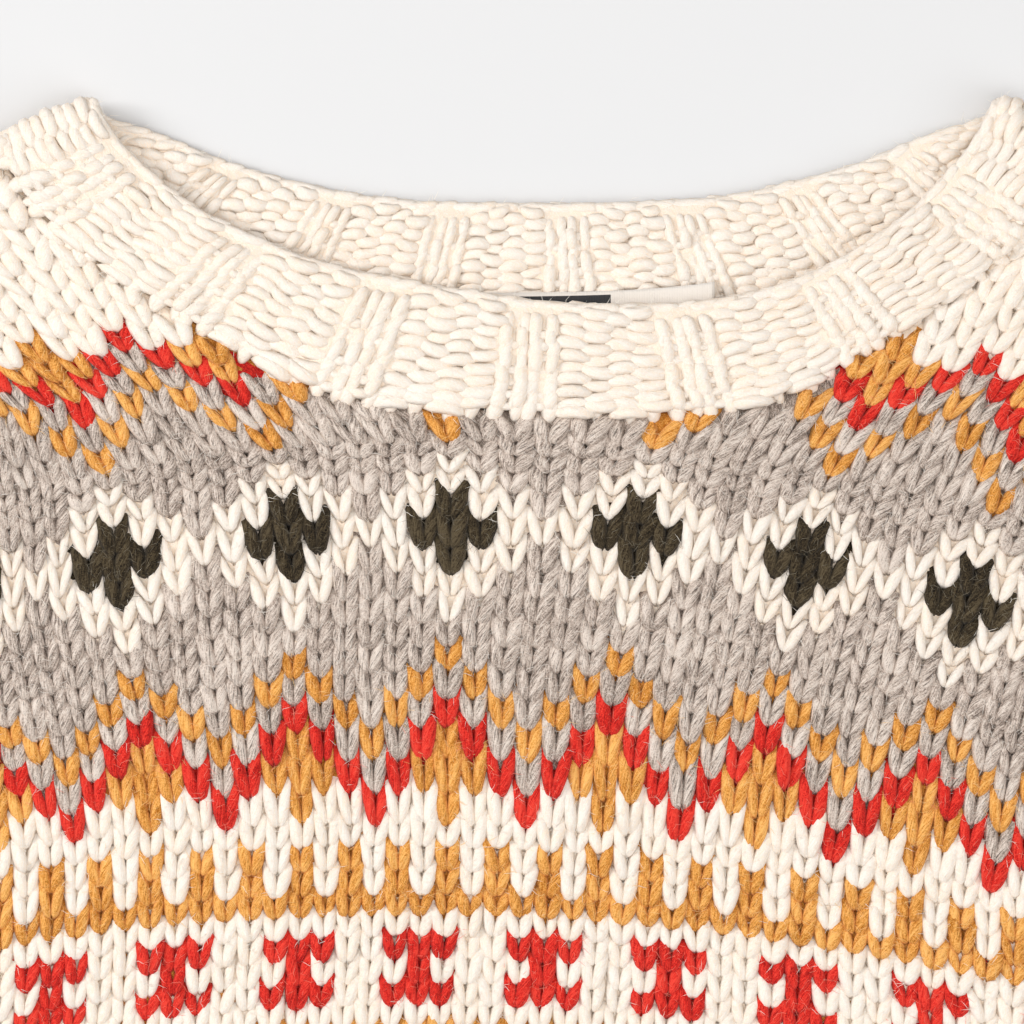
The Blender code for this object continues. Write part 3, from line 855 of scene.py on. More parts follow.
def flat_swatch(name, stitch, places, yarns, seed, turn=0.06, size=0.06, shift=0.03):
    """Stitches on a flat grid: (across, up) places and a yarn number for each."""
    mesh = bpy.data.meshes.new(f"{name}_points")
    mesh.from_pydata([(a, b, 0.0) for a, b in places], [], [])
    mesh.attributes.new("yarn", "INT", "POINT").data.foreach_set("value", yarns)
    carrier = in_scene(f"{name}_points", mesh)
    settings = {
        "Stitch": stitch,
        "Turn spread": turn,
        "Size spread": size,
        "Shift spread": shift,
        "Seed": seed,
    }
    swatch = grown(carrier, KNITTING, settings, name)
    bpy.data.objects.remove(carrier)
    return swatch


def grown(carrier, tree, settings, name):
    """The plain mesh that a Geometry Nodes tree makes of an object, with the modifier taken off."""
    modifier = carrier.modifiers.new(tree.name, "NODES")
    modifier.node_group = tree
    for label, value in settings.items():
        modifier[input_ids(tree)[label]] = value
    graph = bpy.context.evaluated_depsgraph_get()
    made = bpy.data.meshes.new_from_object(
        carrier.evaluated_get(graph), preserve_all_data_layers=True, depsgraph=graph
    )
    carrier.modifiers.remove(modifier)
    made.name = name
    return made


def mesh_points(mesh, kind="co"):
    """The places of a mesh's points, or their normals."""
    points = np.empty(len(mesh.vertices) * 3, np.float32)
    mesh.vertices.foreach_get(kind, points)
    return points.reshape(-1, 3).astype(float)


def move_points(mesh, points):
    mesh.vertices.foreach_set("co", np.asarray(points, np.float32).ravel())
    mesh.update()


def plumped(swatch, seed, legs=2, tilt=0.0, cream=0.0, opened=0.0):
    """The swatch's points, plumped by their yarn, with every leg leant and thinned its own way."""
    yarn = np.empty(len(swatch.vertices), np.int32)
    swatch.attributes["yarn"].data.foreach_get("value", yarn)
    points = mesh_points(swatch)
    chance = np.random.default_rng(seed)
    count = len(points) // (legs * stitch_count(swatch))
    each = np.repeat(np.arange(len(points) // count), count)
    thinned = chance.normal(0.0, LEG_THIN_SPREAD, each[-1] + 1)[each]
    leant = chance.normal(0.0, LEG_LEAN_SPREAD, each[-1] + 1)[each]
    lifted = chance.normal(0.0, LEG_LIFT_SPREAD, each[-1] + 1)[each]
    middle = np.zeros((each[-1] + 1, 3))
    np.add.at(middle, each, points)
    middle /= count
    from_middle = points[:, 1] - middle[each, 1]
    points[:, 1] += chance.normal(0.0, tilt, each[-1] + 1)[each] * (points[:, 0] - middle[each, 0])
    thickness = np.array(PLUMP)[yarn] + np.where(yarn == 0, cream, 0.0) + thinned
    out = mesh_points(swatch, "normal") * thickness[:, None]
    points = points + out * (1.0, 1.0 / ROW_SHARE, 1.0)
    side = np.where(each % 2 == 0, -1.0, 1.0)
    drawn = (yarn == 0) & (cream < 0.0)
    leant = leant + side * (opened + np.where(drawn, V_LEAN_DRAWN, 0.0))
    points[:, 0] += leant * from_middle
    points[:, 2] += lifted
    return points


def stitch_count(swatch):
    """How many stitches a swatch holds: each carries one tint of its own."""
    tint = np.empty(len(swatch.vertices), np.float32)
    swatch.attributes["tint"].data.foreach_get("value", tint)
    return 1 + int(np.count_nonzero(np.diff(tint)))


def finished_piece(name, mesh):
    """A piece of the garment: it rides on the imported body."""
    piece = in_scene(name, mesh)
    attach(piece, "root")
    triangles = sum(len(face.vertices) - 2 for face in mesh.polygons)
    print(f"{name}: {triangles} triangles")
    return piece


def laid_piece(name, swatch, points):
    """A piece from a swatch whose points have been given their places."""
    move_points(swatch, points)
    return finished_piece(name, swatch)


def node_tree_of(node):
    """A ray-casting tree of a CAD node's mesh."""
    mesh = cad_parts[node].data
    return BVHTree.FromPolygons(
        [tuple(vertex.co) for vertex in mesh.vertices], [tuple(face.vertices) for face in mesh.polygons]
    )


def top_height(tree, x, y, outside_drop=0.0012):
    """Height of the top of a CAD node over each place, and whether the place is over it."""
    height = np.empty(len(x))
    over = np.zeros(len(x), bool)
    for number, (across, up) in enumerate(zip(x.tolist(), y.tolist())):
        hit = tree.ray_cast((across, up, 0.1), (0.0, 0.0, -1.0))[0]
        if hit is None:
            height[number] = tree.find_nearest((across, up, 0.012))[0].z - outside_drop
        else:
            height[number] = hit.z
            over[number] = True
    return height, over


NODE_TREES = {node: node_tree_of(node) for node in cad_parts}
print("nodes", list(NODE_TREES))

# %% [markdown]
# The front is knitted in stocking stitch. Stitches inside the camera's view use the full V, and
# the rest of the panel uses the light one. A stitch is kept where the panel carries it. Those at the
# neck run on under the neckband, which was picked up along that line.

# %% Stitches of the front
VIEW_MARGIN = 0.012
# how far below the neck's seam a stitch must end to show past the picked-up stitches
SEAM_COVER = 0.0050
# where the seam climbs to the shoulder, the stitches run on under it
COVER_FADE = (0.088, 0.115)


def panel_stitches(panel):
    """Wale and row of each stitch that the panel carries, with its place on the page."""
    wales, rows = np.meshgrid(np.arange(-SIDE_WALE + 1, SIDE_WALE), np.arange(FIRST_ROW, LAST_ROW + 1))
    wales, rows = wales.ravel(), rows.ravel()
    foot = on_body(wales, rows)
    top = on_body(wales, rows - 1.35)
    cover = SEAM_COVER * np.interp(np.abs(foot[0]), COVER_FADE, (1.0, 0.0))
    foot_over = top_height(NODE_TREES[panel], foot[0], foot[1] + cover)[1]
    top_over = top_height(NODE_TREES[panel], *top)[1]
    beyond = on_body(wales, rows - 2.1)
    in_band = [top_height(NODE_TREES["neckband"], *place)[1] for place in (top, beyond)]
    kept = foot_over & (top_over | in_band[0] | in_band[1])
    return wales[kept], rows[kept], foot[0][kept], foot[1][kept]


def in_view(x, y):
    """Whether a place is inside the picture or within a margin of its edge."""
    left, right = pixel_x(0) - VIEW_MARGIN, pixel_x(PICTURE_SIDE_PX) + VIEW_MARGIN
    bottom = NECK_Y - pixel_drop(PICTURE_SIDE_PX) - VIEW_MARGIN
    return (x > left) & (x < right) & (y > bottom)


def lay_on_front(points):
    x, y = on_body(points[:, 0], -points[:, 1] - STITCH_LIFT)
    height, _ = top_height(NODE_TREES["front"], x, y)
    return np.stack([x, y, height - YARN_SINK + points[:, 2] * STITCH_WIDTH * 1.1], axis=1)


def knit_front(name, stitch, chosen, seed, cream):
    wales, rows = front_wales[chosen], front_rows[chosen]
    yarns = [yarn_of(int(wale), int(row)) for wale, row in zip(wales, rows)]
    swatch = flat_swatch(name, stitch, list(zip(wales, -rows)), yarns, seed)
    points = plumped(swatch, seed, cream=cream, opened=V_LEAN)
    return laid_piece(name, swatch, lay_on_front(points))


front_wales, front_rows, front_x, front_y = panel_stitches("front")
near = in_view(front_x, front_y)
front_stitches = [
    knit_front("front_stitches_neck", knit_stitch, near & (front_rows < -5), 11, CREAM_STRETCHED),
    knit_front("front_stitches_diamonds", knit_stitch, near & (abs(front_rows) <= 5), 12, CREAM_DRAWN),
    knit_front("front_stitches_blocks", knit_stitch, near & (front_rows > 5), 13, CREAM_FULL),
    knit_front("front_stitches_outer", plain_stitch, ~near, 14, 0.0),
]
print("stitches in view", int(near.sum()), "of", len(near))

# %% [markdown]
# Under the stitches lies the ground, a soft copy of the CAD wall drawn in by a little more than
# half a yarn. It closes the gaps between stitches with wool of the chart's colour, darkened to that
# wool's deep colour as painted shade, and it is the sheet that stands for the cloth. Its UV map holds
# the lattice, so relief and colour follow the rows.

# %% The ground of each cloth
# how far each ground is drawn in: the front's in the camera's view and outside it, then the others
GROUND_INSET, OUTER_INSET = 0.0015, 0.0008
BACK_INSET, PLAIN_INSET, NECKBAND_INSET = 0.0004, 0.0013, 0.0008
# along the middle of the neck's seam, the first row whose yarn shows
SEAM_FIRST_ROW = -4
SEAM_MIDDLE = 0.055
# painted shade: the grounds carry this low tint, which turns their wool to its deep colour as the shade in
# the gaps between stitches
PAINTED_GAP_SHADE = -0.9
FINEST_CELL = 0.0042


def merged_copy(node, inset, rounds):
    """A CAD node's form as its own mesh: doubles merged, drawn in, and its long edges halved."""
    work = bmesh.new()
    work.from_mesh(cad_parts[node].data)
    bmesh.ops.remove_doubles(work, verts=work.verts, dist=0.00002)
    work.normal_update()
    for vertex in work.verts:
        vertex.co.z -= max(vertex.normal.z, 0.0) * inset
    for _ in range(rounds):
        longest = [edge for edge in work.edges if edge.calc_length() > FINEST_CELL]
        bmesh.ops.subdivide_edges(work, edges=longest, cuts=1)
        bmesh.ops.triangulate(work, faces=[face for face in work.faces if len(face.verts) > 4])
    mesh = bpy.data.meshes.new(f"{node}_ground")
    work.to_mesh(mesh)
    work.free()
    mesh.shade_smooth()
    return mesh


def ground_piece(node, inset, rounds, lattice, colour):
    """The ground of one node, dyed face by face, which replaces the node."""
    mesh = merged_copy(node, inset, rounds)
    for yarn in YARNS:
        mesh.materials.append(WOOL_MATERIALS[yarn])
    points = mesh_points(mesh)
    across, up = lattice(points[:, 0], points[:, 1])
    # painted shade: every point of the ground gets the low tint that darkens it
    tint = mesh.attributes.new("tint", "FLOAT", "POINT")
    tint.data.foreach_set("value", np.full(len(points), PAINTED_GAP_SHADE, np.float32))
    layer = mesh.uv_layers.new(name="yarn_uv")
    corners = np.empty(len(mesh.loops), np.int32)
    mesh.loops.foreach_get("vertex_index", corners)
    layer.data.foreach_set("uv", np.stack([across[corners], up[corners]], axis=1).astype(np.float32).ravel())
    centres = np.empty(len(mesh.polygons) * 3, np.float32)
    mesh.polygons.foreach_get("center", centres)
    centres = centres.reshape(-1, 3).astype(float)
    mesh.polygons.foreach_set("material_index", np.array(colour(*centres[:, :2].T), np.int32))
    piece = finished_piece(f"{node}_ground", mesh)
    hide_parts(node)
    return piece


def body_colour(x, y):
    wale, row = stitch_at(x, y)
    leg_rise = np.abs(wale - np.round(wale)) * 1.8
    rows = np.round(row + leg_rise + 0.3)
    rows = np.where(np.abs(x) < SEAM_MIDDLE, np.maximum(rows, SEAM_FIRST_ROW), rows)
    return [yarn_of(int(w), int(r)) for w, r in zip(np.round(wale), rows)]


def body_lattice(x, y):
    wale, row = stitch_at(x, y)
    return wale, -row


def plain_lattice(x, y):
    return x / STITCH_WIDTH, y / STITCH_WIDTH


def all_cream(x, y):
    return [0] * len(x)


def fill_outside_view(piece, rise):
    """Draws the ground nearer to the light stitches that lie outside the camera's view."""
    points = mesh_points(piece.data)
    upper = points[:, 2] > WALL * 1.2
    points[upper & ~in_view(points[:, 0], points[:, 1]), 2] += rise
    move_points(piece.data, points)


grounds = {}
for node, inset, rounds in (("front", GROUND_INSET, 2), ("back", BACK_INSET, 3)):
    grounds[node] = ground_piece(node, inset, rounds, body_lattice, body_colour)
fill_outside_view(grounds["front"], GROUND_INSET - OUTER_INSET)
for node, slot in (
    ("hem_rib_front", "cream_rib"),
    ("hem_rib_back", "cream_rib"),
    ("sleeve_left", "cream_knit"),
    ("sleeve_right", "cream_knit"),
    ("cuff_left", "cream_rib"),
    ("cuff_right", "cream_rib"),
    ("neckband", "cream_rib"),
):
    inset = NECKBAND_INSET if node == "neckband" else PLAIN_INSET
    grounds[node] = ground_piece(node, inset, 1, plain_lattice, all_cream)

# %% [markdown]
# The neckband is a tube of two-by-two rib that was picked up round the neck. Its place is worked
# out as it was for the CAD: a free edge and a seam, joined across the band, with a half-round fold at
# each shoulder. A point of the band is then said in three numbers: how far round, how far across
# from the edge to the seam, and how high off the middle of its wall.

# %% The neckband's lines
# across, front drop, back drop, along the free edge
NECK_EDGE = (
    (0.000, 0.0525, 0.0277),
    (0.025, 0.0512, 0.0274),
    (0.045, 0.0485, 0.0258),
    (0.062, 0.0440, 0.0224),
    (0.080, 0.0355, 0.0172),
    (0.092, 0.0275, 0.0122),
    (0.101, 0.0190, 0.0088),
    (0.107, 0.0125, 0.0070),
)
# across, drop, along the seam with the front and with the back
FRONT_SEAM = (
    (0.000, 0.0790),
    (0.022, 0.0788),
    (0.040, 0.0774),
    (0.055, 0.0748),
    (0.068, 0.0695),
    (0.079, 0.0627),
    (0.092, 0.0550),
    (0.107, 0.0455),
    (0.120, 0.0350),
    (0.130, 0.0245),
)
BACK_SEAM = (
    (0.000, 0.0537),
    (0.030, 0.0532),
    (0.055, 0.0506),
    (0.080, 0.0448),
    (0.100, 0.0375),
    (0.117, 0.0290),
    (0.129, 0.0210),
)
BAND_FOLD_RADIUS = (BAND_WALL + NECK_LIFT) / 2
BAND_FOLD_REACH = BAND_FOLD_RADIUS + BAND_WALL / 2
BAND_STEPS = 181
FOLD_STEPS = 13


def through(points, per_span=12):
    """A dense smooth line through the given points."""
    points = np.array(points, float)
    ends = np.concatenate([[2 * points[0] - points[1]], points, [2 * points[-1] - points[-2]]])
    line = []
    for before, start, end, after in zip(ends, ends[1:], ends[2:], ends[3:]):
        for share in np.linspace(0.0, 1.0, per_span, endpoint=False):
            bend = 2 * before - 5 * start + 4 * end - after
            twist = 3 * start - before - 3 * end + after
            line.append(0.5 * (2 * start + (end - before) * share + bend * share**2 + twist * share**3))
    line.append(points[-1])
    return np.array(line)


def along(line):
    return np.concatenate([[0.0], np.cumsum(np.linalg.norm(np.diff(line, axis=0), axis=1))])


def evenly(line, count):
    """Points at even distances along a line."""
    reached = along(line)
    places = np.linspace(0.0, reached[-1], count)
    return np.stack([np.interp(places, reached, line[:, k]) for k in range(2)], axis=1)


def sloped(side, angle):
    """The directions outward along a line that falls by an angle, and square to it."""
    outward = np.array([side * math.cos(angle), -math.sin(angle)])
    off = np.array([side * math.sin(angle), math.cos(angle)])
    return outward, off


def corner_point(side, share):
    outward, _ = sloped(side, SHOULDER_SLOPE)
    return np.array([side * NECK_HALF_WIDTH, NECK_Y]) + outward * BAND_DEPTH * share


def neck_line(rows, lean, share):
    """A neckline in plan from the left corner's fold to the right one's."""
    half = [(across, NECK_Y - drop) for across, drop in rows]
    points = []
    for side, reach in ((-1, reversed(half)), (1, half[1:])):
        points += [(side * x, y) for x, y in reach]
    for side, at in ((-1, 0), (1, len(points) + 1)):
        _, off = sloped(side, SHOULDER_SLOPE)
        points.insert(at, tuple(corner_point(side, share) - off * BAND_FOLD_REACH))
    line = through(points)
    line[:, 1] -= lean * np.sin(math.pi * line[:, 0] / abs(line[0, 0]))
    return line


def raised(line, height):
    return np.concatenate([line, np.full((len(line), 1), height)], axis=1)


def band_ring():
    """Edge points, seam points, outward directions and distances all round the band."""
    front = neck_line([(a, drop) for a, drop, _ in NECK_EDGE], EDGE_LEAN, 0.0)
    back = neck_line([(a, drop) for a, _, drop in NECK_EDGE], 0.0, 0.0)
    lengths = along(front)[-1], along(back)[-1]
    front_z = BAND_WALL * 1.5 + NECK_LIFT
    edges = [raised(evenly(front, BAND_STEPS), front_z)]
    seams = [raised(evenly(neck_line(FRONT_SEAM, SEAM_LEAN, 1.0), BAND_STEPS), front_z)]
    outs = [np.tile((0.0, 0.0, 1.0), (BAND_STEPS, 1))]
    distances = [np.linspace(-lengths[0] / 2, lengths[0] / 2, BAND_STEPS)]
    fold_length = math.pi * BAND_FOLD_RADIUS

    def add_fold(side, turns):
        _, off = sloped(side, SHOULDER_SLOPE)
        start = distances[-1][-1]
        out = np.stack([off[0] * np.sin(turns), off[1] * np.sin(turns), np.cos(turns)], axis=1)
        for share, rows in ((0.0, edges), (1.0, seams)):
            centre = corner_point(side, share) - off * BAND_FOLD_REACH
            middle = np.array([centre[0], centre[1], BAND_WALL / 2 + BAND_FOLD_RADIUS])
            rows.append(middle + out * BAND_FOLD_RADIUS)
        outs.append(out)
        distances.append(start + fold_length * np.linspace(0.0, 1.0, FOLD_STEPS)[1:-1])

    add_fold(1, np.linspace(0.0, math.pi, FOLD_STEPS)[1:-1])
    start = distances[0][-1] + fold_length
    edges.append(raised(evenly(back, BAND_STEPS)[::-1], BAND_WALL / 2))
    seams.append(raised(evenly(neck_line(BACK_SEAM, 0.0, 1.0), BAND_STEPS)[::-1], BAND_WALL / 2))
    outs.append(np.tile((0.0, 0.0, -1.0), (BAND_STEPS, 1)))
    distances.append(start + np.linspace(0.0, lengths[1], BAND_STEPS))
    add_fold(-1, np.linspace(math.pi, 0.0, FOLD_STEPS)[1:-1])
    ring = [np.concatenate(part) for part in (edges, seams, outs, distances)]
    return ring, lengths, fold_length


RING_LINES, (FRONT_EDGE_LENGTH, BACK_EDGE_LENGTH), FOLD_LENGTH = band_ring()
RING_EDGE, RING_SEAM, RING_OUT, RING_DISTANCE = RING_LINES
RING_LENGTH = FRONT_EDGE_LENGTH + BACK_EDGE_LENGTH + 2 * FOLD_LENGTH


def on_band(distance, share, height):
    """A point of the neckband. Distance 0 is the middle of the front, and it grows to the right."""
    start = RING_DISTANCE[0]
    wrapped = (np.asarray(distance) - start) % RING_LENGTH + start
    reached = np.append(RING_DISTANCE, start + RING_LENGTH)

    def at(rows):
        closed = np.concatenate([rows, rows[:1]])
        return np.stack([np.interp(wrapped, reached, closed[:, k]) for k in range(3)], axis=1)

    edge, seam, out = at(RING_EDGE), at(RING_SEAM), at(RING_OUT)
    out /= np.linalg.norm(out, axis=1)[:, None]
    share, height = np.asarray(share)[:, None], np.asarray(height)[:, None]
    return edge + (seam - edge) * share + out * height


print("edge lengths of the neckband", FRONT_EDGE_LENGTH, BACK_EDGE_LENGTH)

# %% [markdown]
# In a rib two knit stitches stand out as ropes and two purl stitches sink back and spread. A helper
# knits one kind of column flat, keeps the columns well apart there, and hands back each point as a
# distance across the rib, a row and a rise, so that any ribbed piece can lay it in its own place.

# %% Rib columns
COLUMN_GAP = 4


def column_of(points):
    """Which of the columns, knitted well apart, each point belongs to."""
    return np.floor((points[:, 0] + COLUMN_GAP / 3) / COLUMN_GAP).astype(int)


def rib_columns(name, stitch, middles, width, rows, seed, tilt=0.0):
    """A swatch of rib columns, and its points as distance across, row and rise."""
    places = [(number * COLUMN_GAP, row) for number in range(len(middles)) for row in rows]
    swatch = flat_swatch(name, stitch, places, [0] * len(places), seed, turn=0.05, size=0.07, shift=0.04)
    points = plumped(swatch, seed, legs=3 if stitch is rib_stitch else 2, tilt=tilt)
    column = column_of(points)
    distance = np.array(middles)[column] + (points[:, 0] - column * COLUMN_GAP) * width
    return swatch, distance, points[:, 1], points[:, 2]


def rib_middles(period, start, span, is_knit):
    """Middles of the knit or the purl wales of a rib within a span each side of its middle."""
    offset = 0.0 if is_knit else period / 2
    half_stitch = period * (KNIT_SHARE if is_knit else PURL_SHARE) / 2
    count = int(span / period) + 2
    middles = []
    for number in range(-count, count + 1):
        pair = start + offset + number * period
        middles += [pair - half_stitch, pair + half_stitch]
    return [middle for middle in middles if abs(middle) < span]


# share of the rib's period that one stitch takes
KNIT_SHARE = 0.181
PURL_SHARE = 0.305

# %% [markdown]
# The neckband's outside shows on the front and round the folds, and its inside on the back, where
# the rib is closer. The purls have one more row, close over the seam, where the picked-up stitches
# reach down, each a little more or less than its neighbour. A cast-off chain of slanting links
# finishes the free edge.

# %% Rib of the neckband
BAND_ROWS = 8
BAND_ROW_STEPS = BAND_ROWS + 0.85
# how far the first row's feet lie from the seam, and the purls' row over the seam, in rows
FOOT_KEEP, SEAM_ROW = 0.1, -0.75
# how much of each fold shows the outside's rib
FOLD_SHOWN = 0.9
RIB_KNIT_HEIGHT = BAND_WALL / 2 + RIB_HEIGHT - 0.0012
RIB_PURL_HEIGHT = BAND_WALL / 2 - 0.0005
PURL_TILT = 0.35
LINK_LENGTH = 0.0050
CHAIN_TURN, CHAIN_SHARE = 0.15, 0.025
EDGE_HEIGHT = 0.0007
STUB_HEIGHT = BAND_WALL / 2 - 0.0009


def band_stitches(name, stitch, middles, width, rows, height, facing, seed):
    """Columns of one kind of stitch on the band, on its outside (1) or its inside (-1)."""
    tilt = PURL_TILT if stitch is purl_stitch else 0.0
    swatch, offset, row, rise = rib_columns(name, stitch, middles, width, rows, seed, tilt)
    middle = back_middle if facing < 0 else 0.0
    share = 1.0 - (row + FOOT_KEEP) / BAND_ROW_STEPS
    placed = on_band(middle + facing * offset, share, facing * (height + rise * BAND_RISE))
    return laid_piece(name, swatch, placed)


def edge_chain(name, facing, seed):
    """The cast-off chain all round the free edge, on one side of its thickness."""
    links = int(RING_LENGTH / LINK_LENGTH)
    places = [(number * COLUMN_GAP, 0) for number in range(links)]
    swatch = flat_swatch(name, edge_link, places, [0] * links, seed, turn=CHAIN_TURN)
    points = plumped(swatch, seed, legs=1)
    link = column_of(points)
    aside = points[:, 0] - link * COLUMN_GAP
    distance = RING_DISTANCE[0] + link * RING_LENGTH / links + facing * aside * LINK_LENGTH
    share = CHAIN_SHARE - points[:, 1] * ROW_SHARE * LINK_LENGTH / BAND_DEPTH
    placed = on_band(distance, share, facing * (EDGE_HEIGHT + points[:, 2] * LINK_LENGTH))
    return laid_piece(name, swatch, placed)


front_span = FRONT_EDGE_LENGTH / 2 + FOLD_LENGTH * FOLD_SHOWN
back_span = BACK_EDGE_LENGTH / 2
back_middle = FRONT_EDGE_LENGTH / 2 + FOLD_LENGTH + BACK_EDGE_LENGTH / 2
front_knits = rib_middles(FRONT_RIB_PERIOD, FRONT_RIB_START, front_span, True)
front_purls = rib_middles(FRONT_RIB_PERIOD, FRONT_RIB_START, front_span, False)
back_knits = rib_middles(BACK_RIB_PERIOD, BACK_RIB_START, back_span, True)
back_purls = rib_middles(BACK_RIB_PERIOD, BACK_RIB_START, back_span, False)
front_knit_width, front_purl_width = FRONT_RIB_PERIOD * KNIT_SHARE, FRONT_RIB_PERIOD * PURL_SHARE
back_knit_width, back_purl_width = BACK_RIB_PERIOD * KNIT_SHARE, BACK_RIB_PERIOD * PURL_SHARE
all_rows, knit_rows, picked_up = (SEAM_ROW, *range(BAND_ROWS)), range(BAND_ROWS - 1), (0,)
front_stubs = sorted(front_knits + front_purls)
neck_rows = (
    ("neckband_front_knits", rib_stitch, front_knits, front_knit_width, knit_rows, RIB_KNIT_HEIGHT, 1),
    ("neckband_front_purls", purl_stitch, front_purls, front_purl_width, all_rows, RIB_PURL_HEIGHT, 1),
    ("neckband_picked_up", stub_stitch, front_stubs, front_knit_width, picked_up, STUB_HEIGHT, 1),
    ("neckband_back_knits", rib_stitch, back_knits, back_knit_width, knit_rows, RIB_KNIT_HEIGHT, -1),
    ("neckband_back_purls", purl_stitch, back_purls, back_purl_width, all_rows, RIB_PURL_HEIGHT, -1),
)
neck_stitches = [band_stitches(*row, seed=21 + number) for number, row in enumerate(neck_rows)]
neck_stitches += [edge_chain("neckband_edge_outside", 1, 31), edge_chain("neckband_edge_inside", -1, 32)]

# %% [markdown]
# The sleeves are plain cream stocking stitch down to the cuff. Their rows start in line with the
# armhole and turn square to the sleeve on the way down, so the same flat swatch is laid between the
# sleeve's upper and lower edges, which are the ones that the CAD tube was drawn through.

# %% Sleeves
SLEEVE_ROW = 0.00575
SLEEVE_WALES = 18
# how much the lower edge swells for the upper one, and how far stitches keep off both
UNDERARM_SWELL, EDGE_KEEP = 0.6, 0.0045
SHOULDER_END_Y = NECK_Y - (SIDE_X - NECK_HALF_WIDTH) * math.tan(SHOULDER_SLOPE)


def sleeve_place(side, wale, row):
    """Plan place of a stitch of a sleeve, with the distance left to the sleeve's nearer edge."""
    direction, upward = sloped(side, SLEEVE_ANGLE)
    armhole_top = np.array([side * SIDE_X, SHOULDER_END_Y])
    armhole_bottom = armhole_top - (0.0, ARMHOLE_DEPTH)
    end = (armhole_top + armhole_bottom) / 2 + direction * SLEEVE_LENGTH
    share = np.asarray(row * SLEEVE_ROW / SLEEVE_LENGTH)[:, None]
    swell = SLEEVE_BOW * np.sin(math.pi * share) * upward
    top = armhole_top * (1 - share) + (end + upward * SLEEVE_END_WIDTH / 2) * share + swell
    bottom = armhole_bottom * (1 - share) + (end - upward * SLEEVE_END_WIDTH / 2) * share
    bottom = bottom + swell * UNDERARM_SWELL
    width = np.linalg.norm(top - bottom, axis=1)
    offset = side * wale * STITCH_WIDTH
    plan = (top + bottom) / 2 + (top - bottom) / width[:, None] * offset[:, None]
    return plan[:, 0], plan[:, 1], width / 2 - np.abs(offset)


def knit_sleeve(name, side, seed):
    count = int(SLEEVE_LENGTH / SLEEVE_ROW)
    wales, rows = np.meshgrid(np.arange(-SLEEVE_WALES, SLEEVE_WALES + 1), np.arange(1, count + 1))
    wales, rows = wales.ravel(), rows.ravel()
    kept = sleeve_place(side, wales, rows - 1.0)[2] > EDGE_KEEP
    wales, rows = wales[kept], rows[kept]
    swatch = flat_swatch(name, plain_stitch, list(zip(wales, -rows)), [0] * len(rows), seed)
    points = plumped(swatch, seed)
    x, y, _ = sleeve_place(side, points[:, 0], -points[:, 1])
    height, _ = top_height(NODE_TREES[f"sleeve_{name.split('_')[1]}"], x, y)
    placed = np.stack([x, y, height - YARN_SINK + points[:, 2] * STITCH_WIDTH], axis=1)
    return laid_piece(name, swatch, placed)


sleeve_stitches = {
    "left": knit_sleeve("sleeve_left_stitches", 1, 41),
    "right": knit_sleeve("sleeve_right_stitches", -1, 42),
}

# %% [markdown]
# The hem and the cuffs are the same two-by-two rib as the neckband, at the stitch width of the
# plain cloth, so they draw the garment in. They lie outside the close view and use light stitches.

# %% Hem and cuffs
RIB_ROW = 0.0050
CUFF_EDGE = 0.0043
# how far the first row lies from the hem's edge and the cuff's, and the columns from the sides
HEM_END, CUFF_END, SIDE_END = 0.0012, 0.0015, 0.004
PLAIN_SHARE = 0.25
KNIT_SINK, PURL_SINK = 0.0009, 0.0006
cuff_rib_period = (CUFF_WIDTH - 2 * CUFF_EDGE) / CUFF_RIBS


def laid_rib(name, node, stitch, middles, width, rows, place, sink, seed):
    swatch, offset, row, rise = rib_columns(name, stitch, middles, width, rows, seed)
    x, y = place(offset, row)
    height, _ = top_height(NODE_TREES[node], x, y)
    placed = np.stack([x, y, height - sink + rise * width], axis=1)
    return laid_piece(name, swatch, placed)


def on_hem(offset, row):
    y = HEM_Y + HEM_END + row * RIB_ROW
    return offset * width_share(y), y


def on_cuff(side):
    direction, upward = sloped(side, SLEEVE_ANGLE)
    middle = np.array([side * SIDE_X, SHOULDER_END_Y - ARMHOLE_DEPTH / 2])
    finish = middle + direction * (SLEEVE_LENGTH + CUFF_LENGTH - CUFF_END)

    def place(offset, row):
        plan = finish - direction * (row * RIB_ROW)[:, None] + upward * (side * offset)[:, None]
        return plan[:, 0], plan[:, 1]

    return place


rib_pieces = {}
hem_rows, cuff_rows = range(int(HEM_DEPTH / RIB_ROW) - 1), range(int(CUFF_LENGTH / RIB_ROW) - 1)
rib_cloths = [("hem_rib_front", on_hem, RIB_PERIOD, SIDE_X - SIDE_END, hem_rows)]
for name, side in (("left", 1), ("right", -1)):
    cuff_span = CUFF_WIDTH / 2 - SIDE_END
    rib_cloths.append((f"cuff_{name}", on_cuff(side), cuff_rib_period, cuff_span, cuff_rows))
for number, (node, place, period, span, rows) in enumerate(rib_cloths):
    rib_pieces[node] = []
    width = period * PLAIN_SHARE
    for kind, stitch, sink in (("knits", plain_rib, KNIT_SINK), ("purls", plain_purl, PURL_SINK)):
        middles = rib_middles(period, 0.0, span, kind == "knits")
        name = f"{node}_{kind}"
        piece = laid_rib(name, node, stitch, middles, width, rows, place, sink, 51 + number)
        rib_pieces[node].append(piece)

# %% [markdown]
# A woven label is sewn inside the back of the neck, and only its upper edge shows over the front's.
# It is a thin white ribbon with one plain dark bar. It is made as a closed grid, whose upper corner
# curls up, and the bar is woven in: some cells of the grid take the dark thread.

# %% Label
LABEL_WIDTH = 0.064
LABEL_HEIGHT = 0.034
LABEL_CORNER_X = 0.0425
LABEL_CORNER_DROP = 0.0468
LABEL_CELLS = (64, 34)
LABEL_Z = 0.0056
LABEL_THICKNESS = 0.0004
LABEL_SAG = 0.0029
LABEL_SAG_REACH = 0.018
LABEL_CURL = 0.0010
# how far the corner's curl reaches, across and down
CURL_ACROSS, CURL_DOWN = 0.012, 0.010
HALF_CELL = 0.0005
BAR_START, BAR_END = 0.026, 0.053
BAR_TOP, BAR_BOTTOM = 0.0009, 0.0050


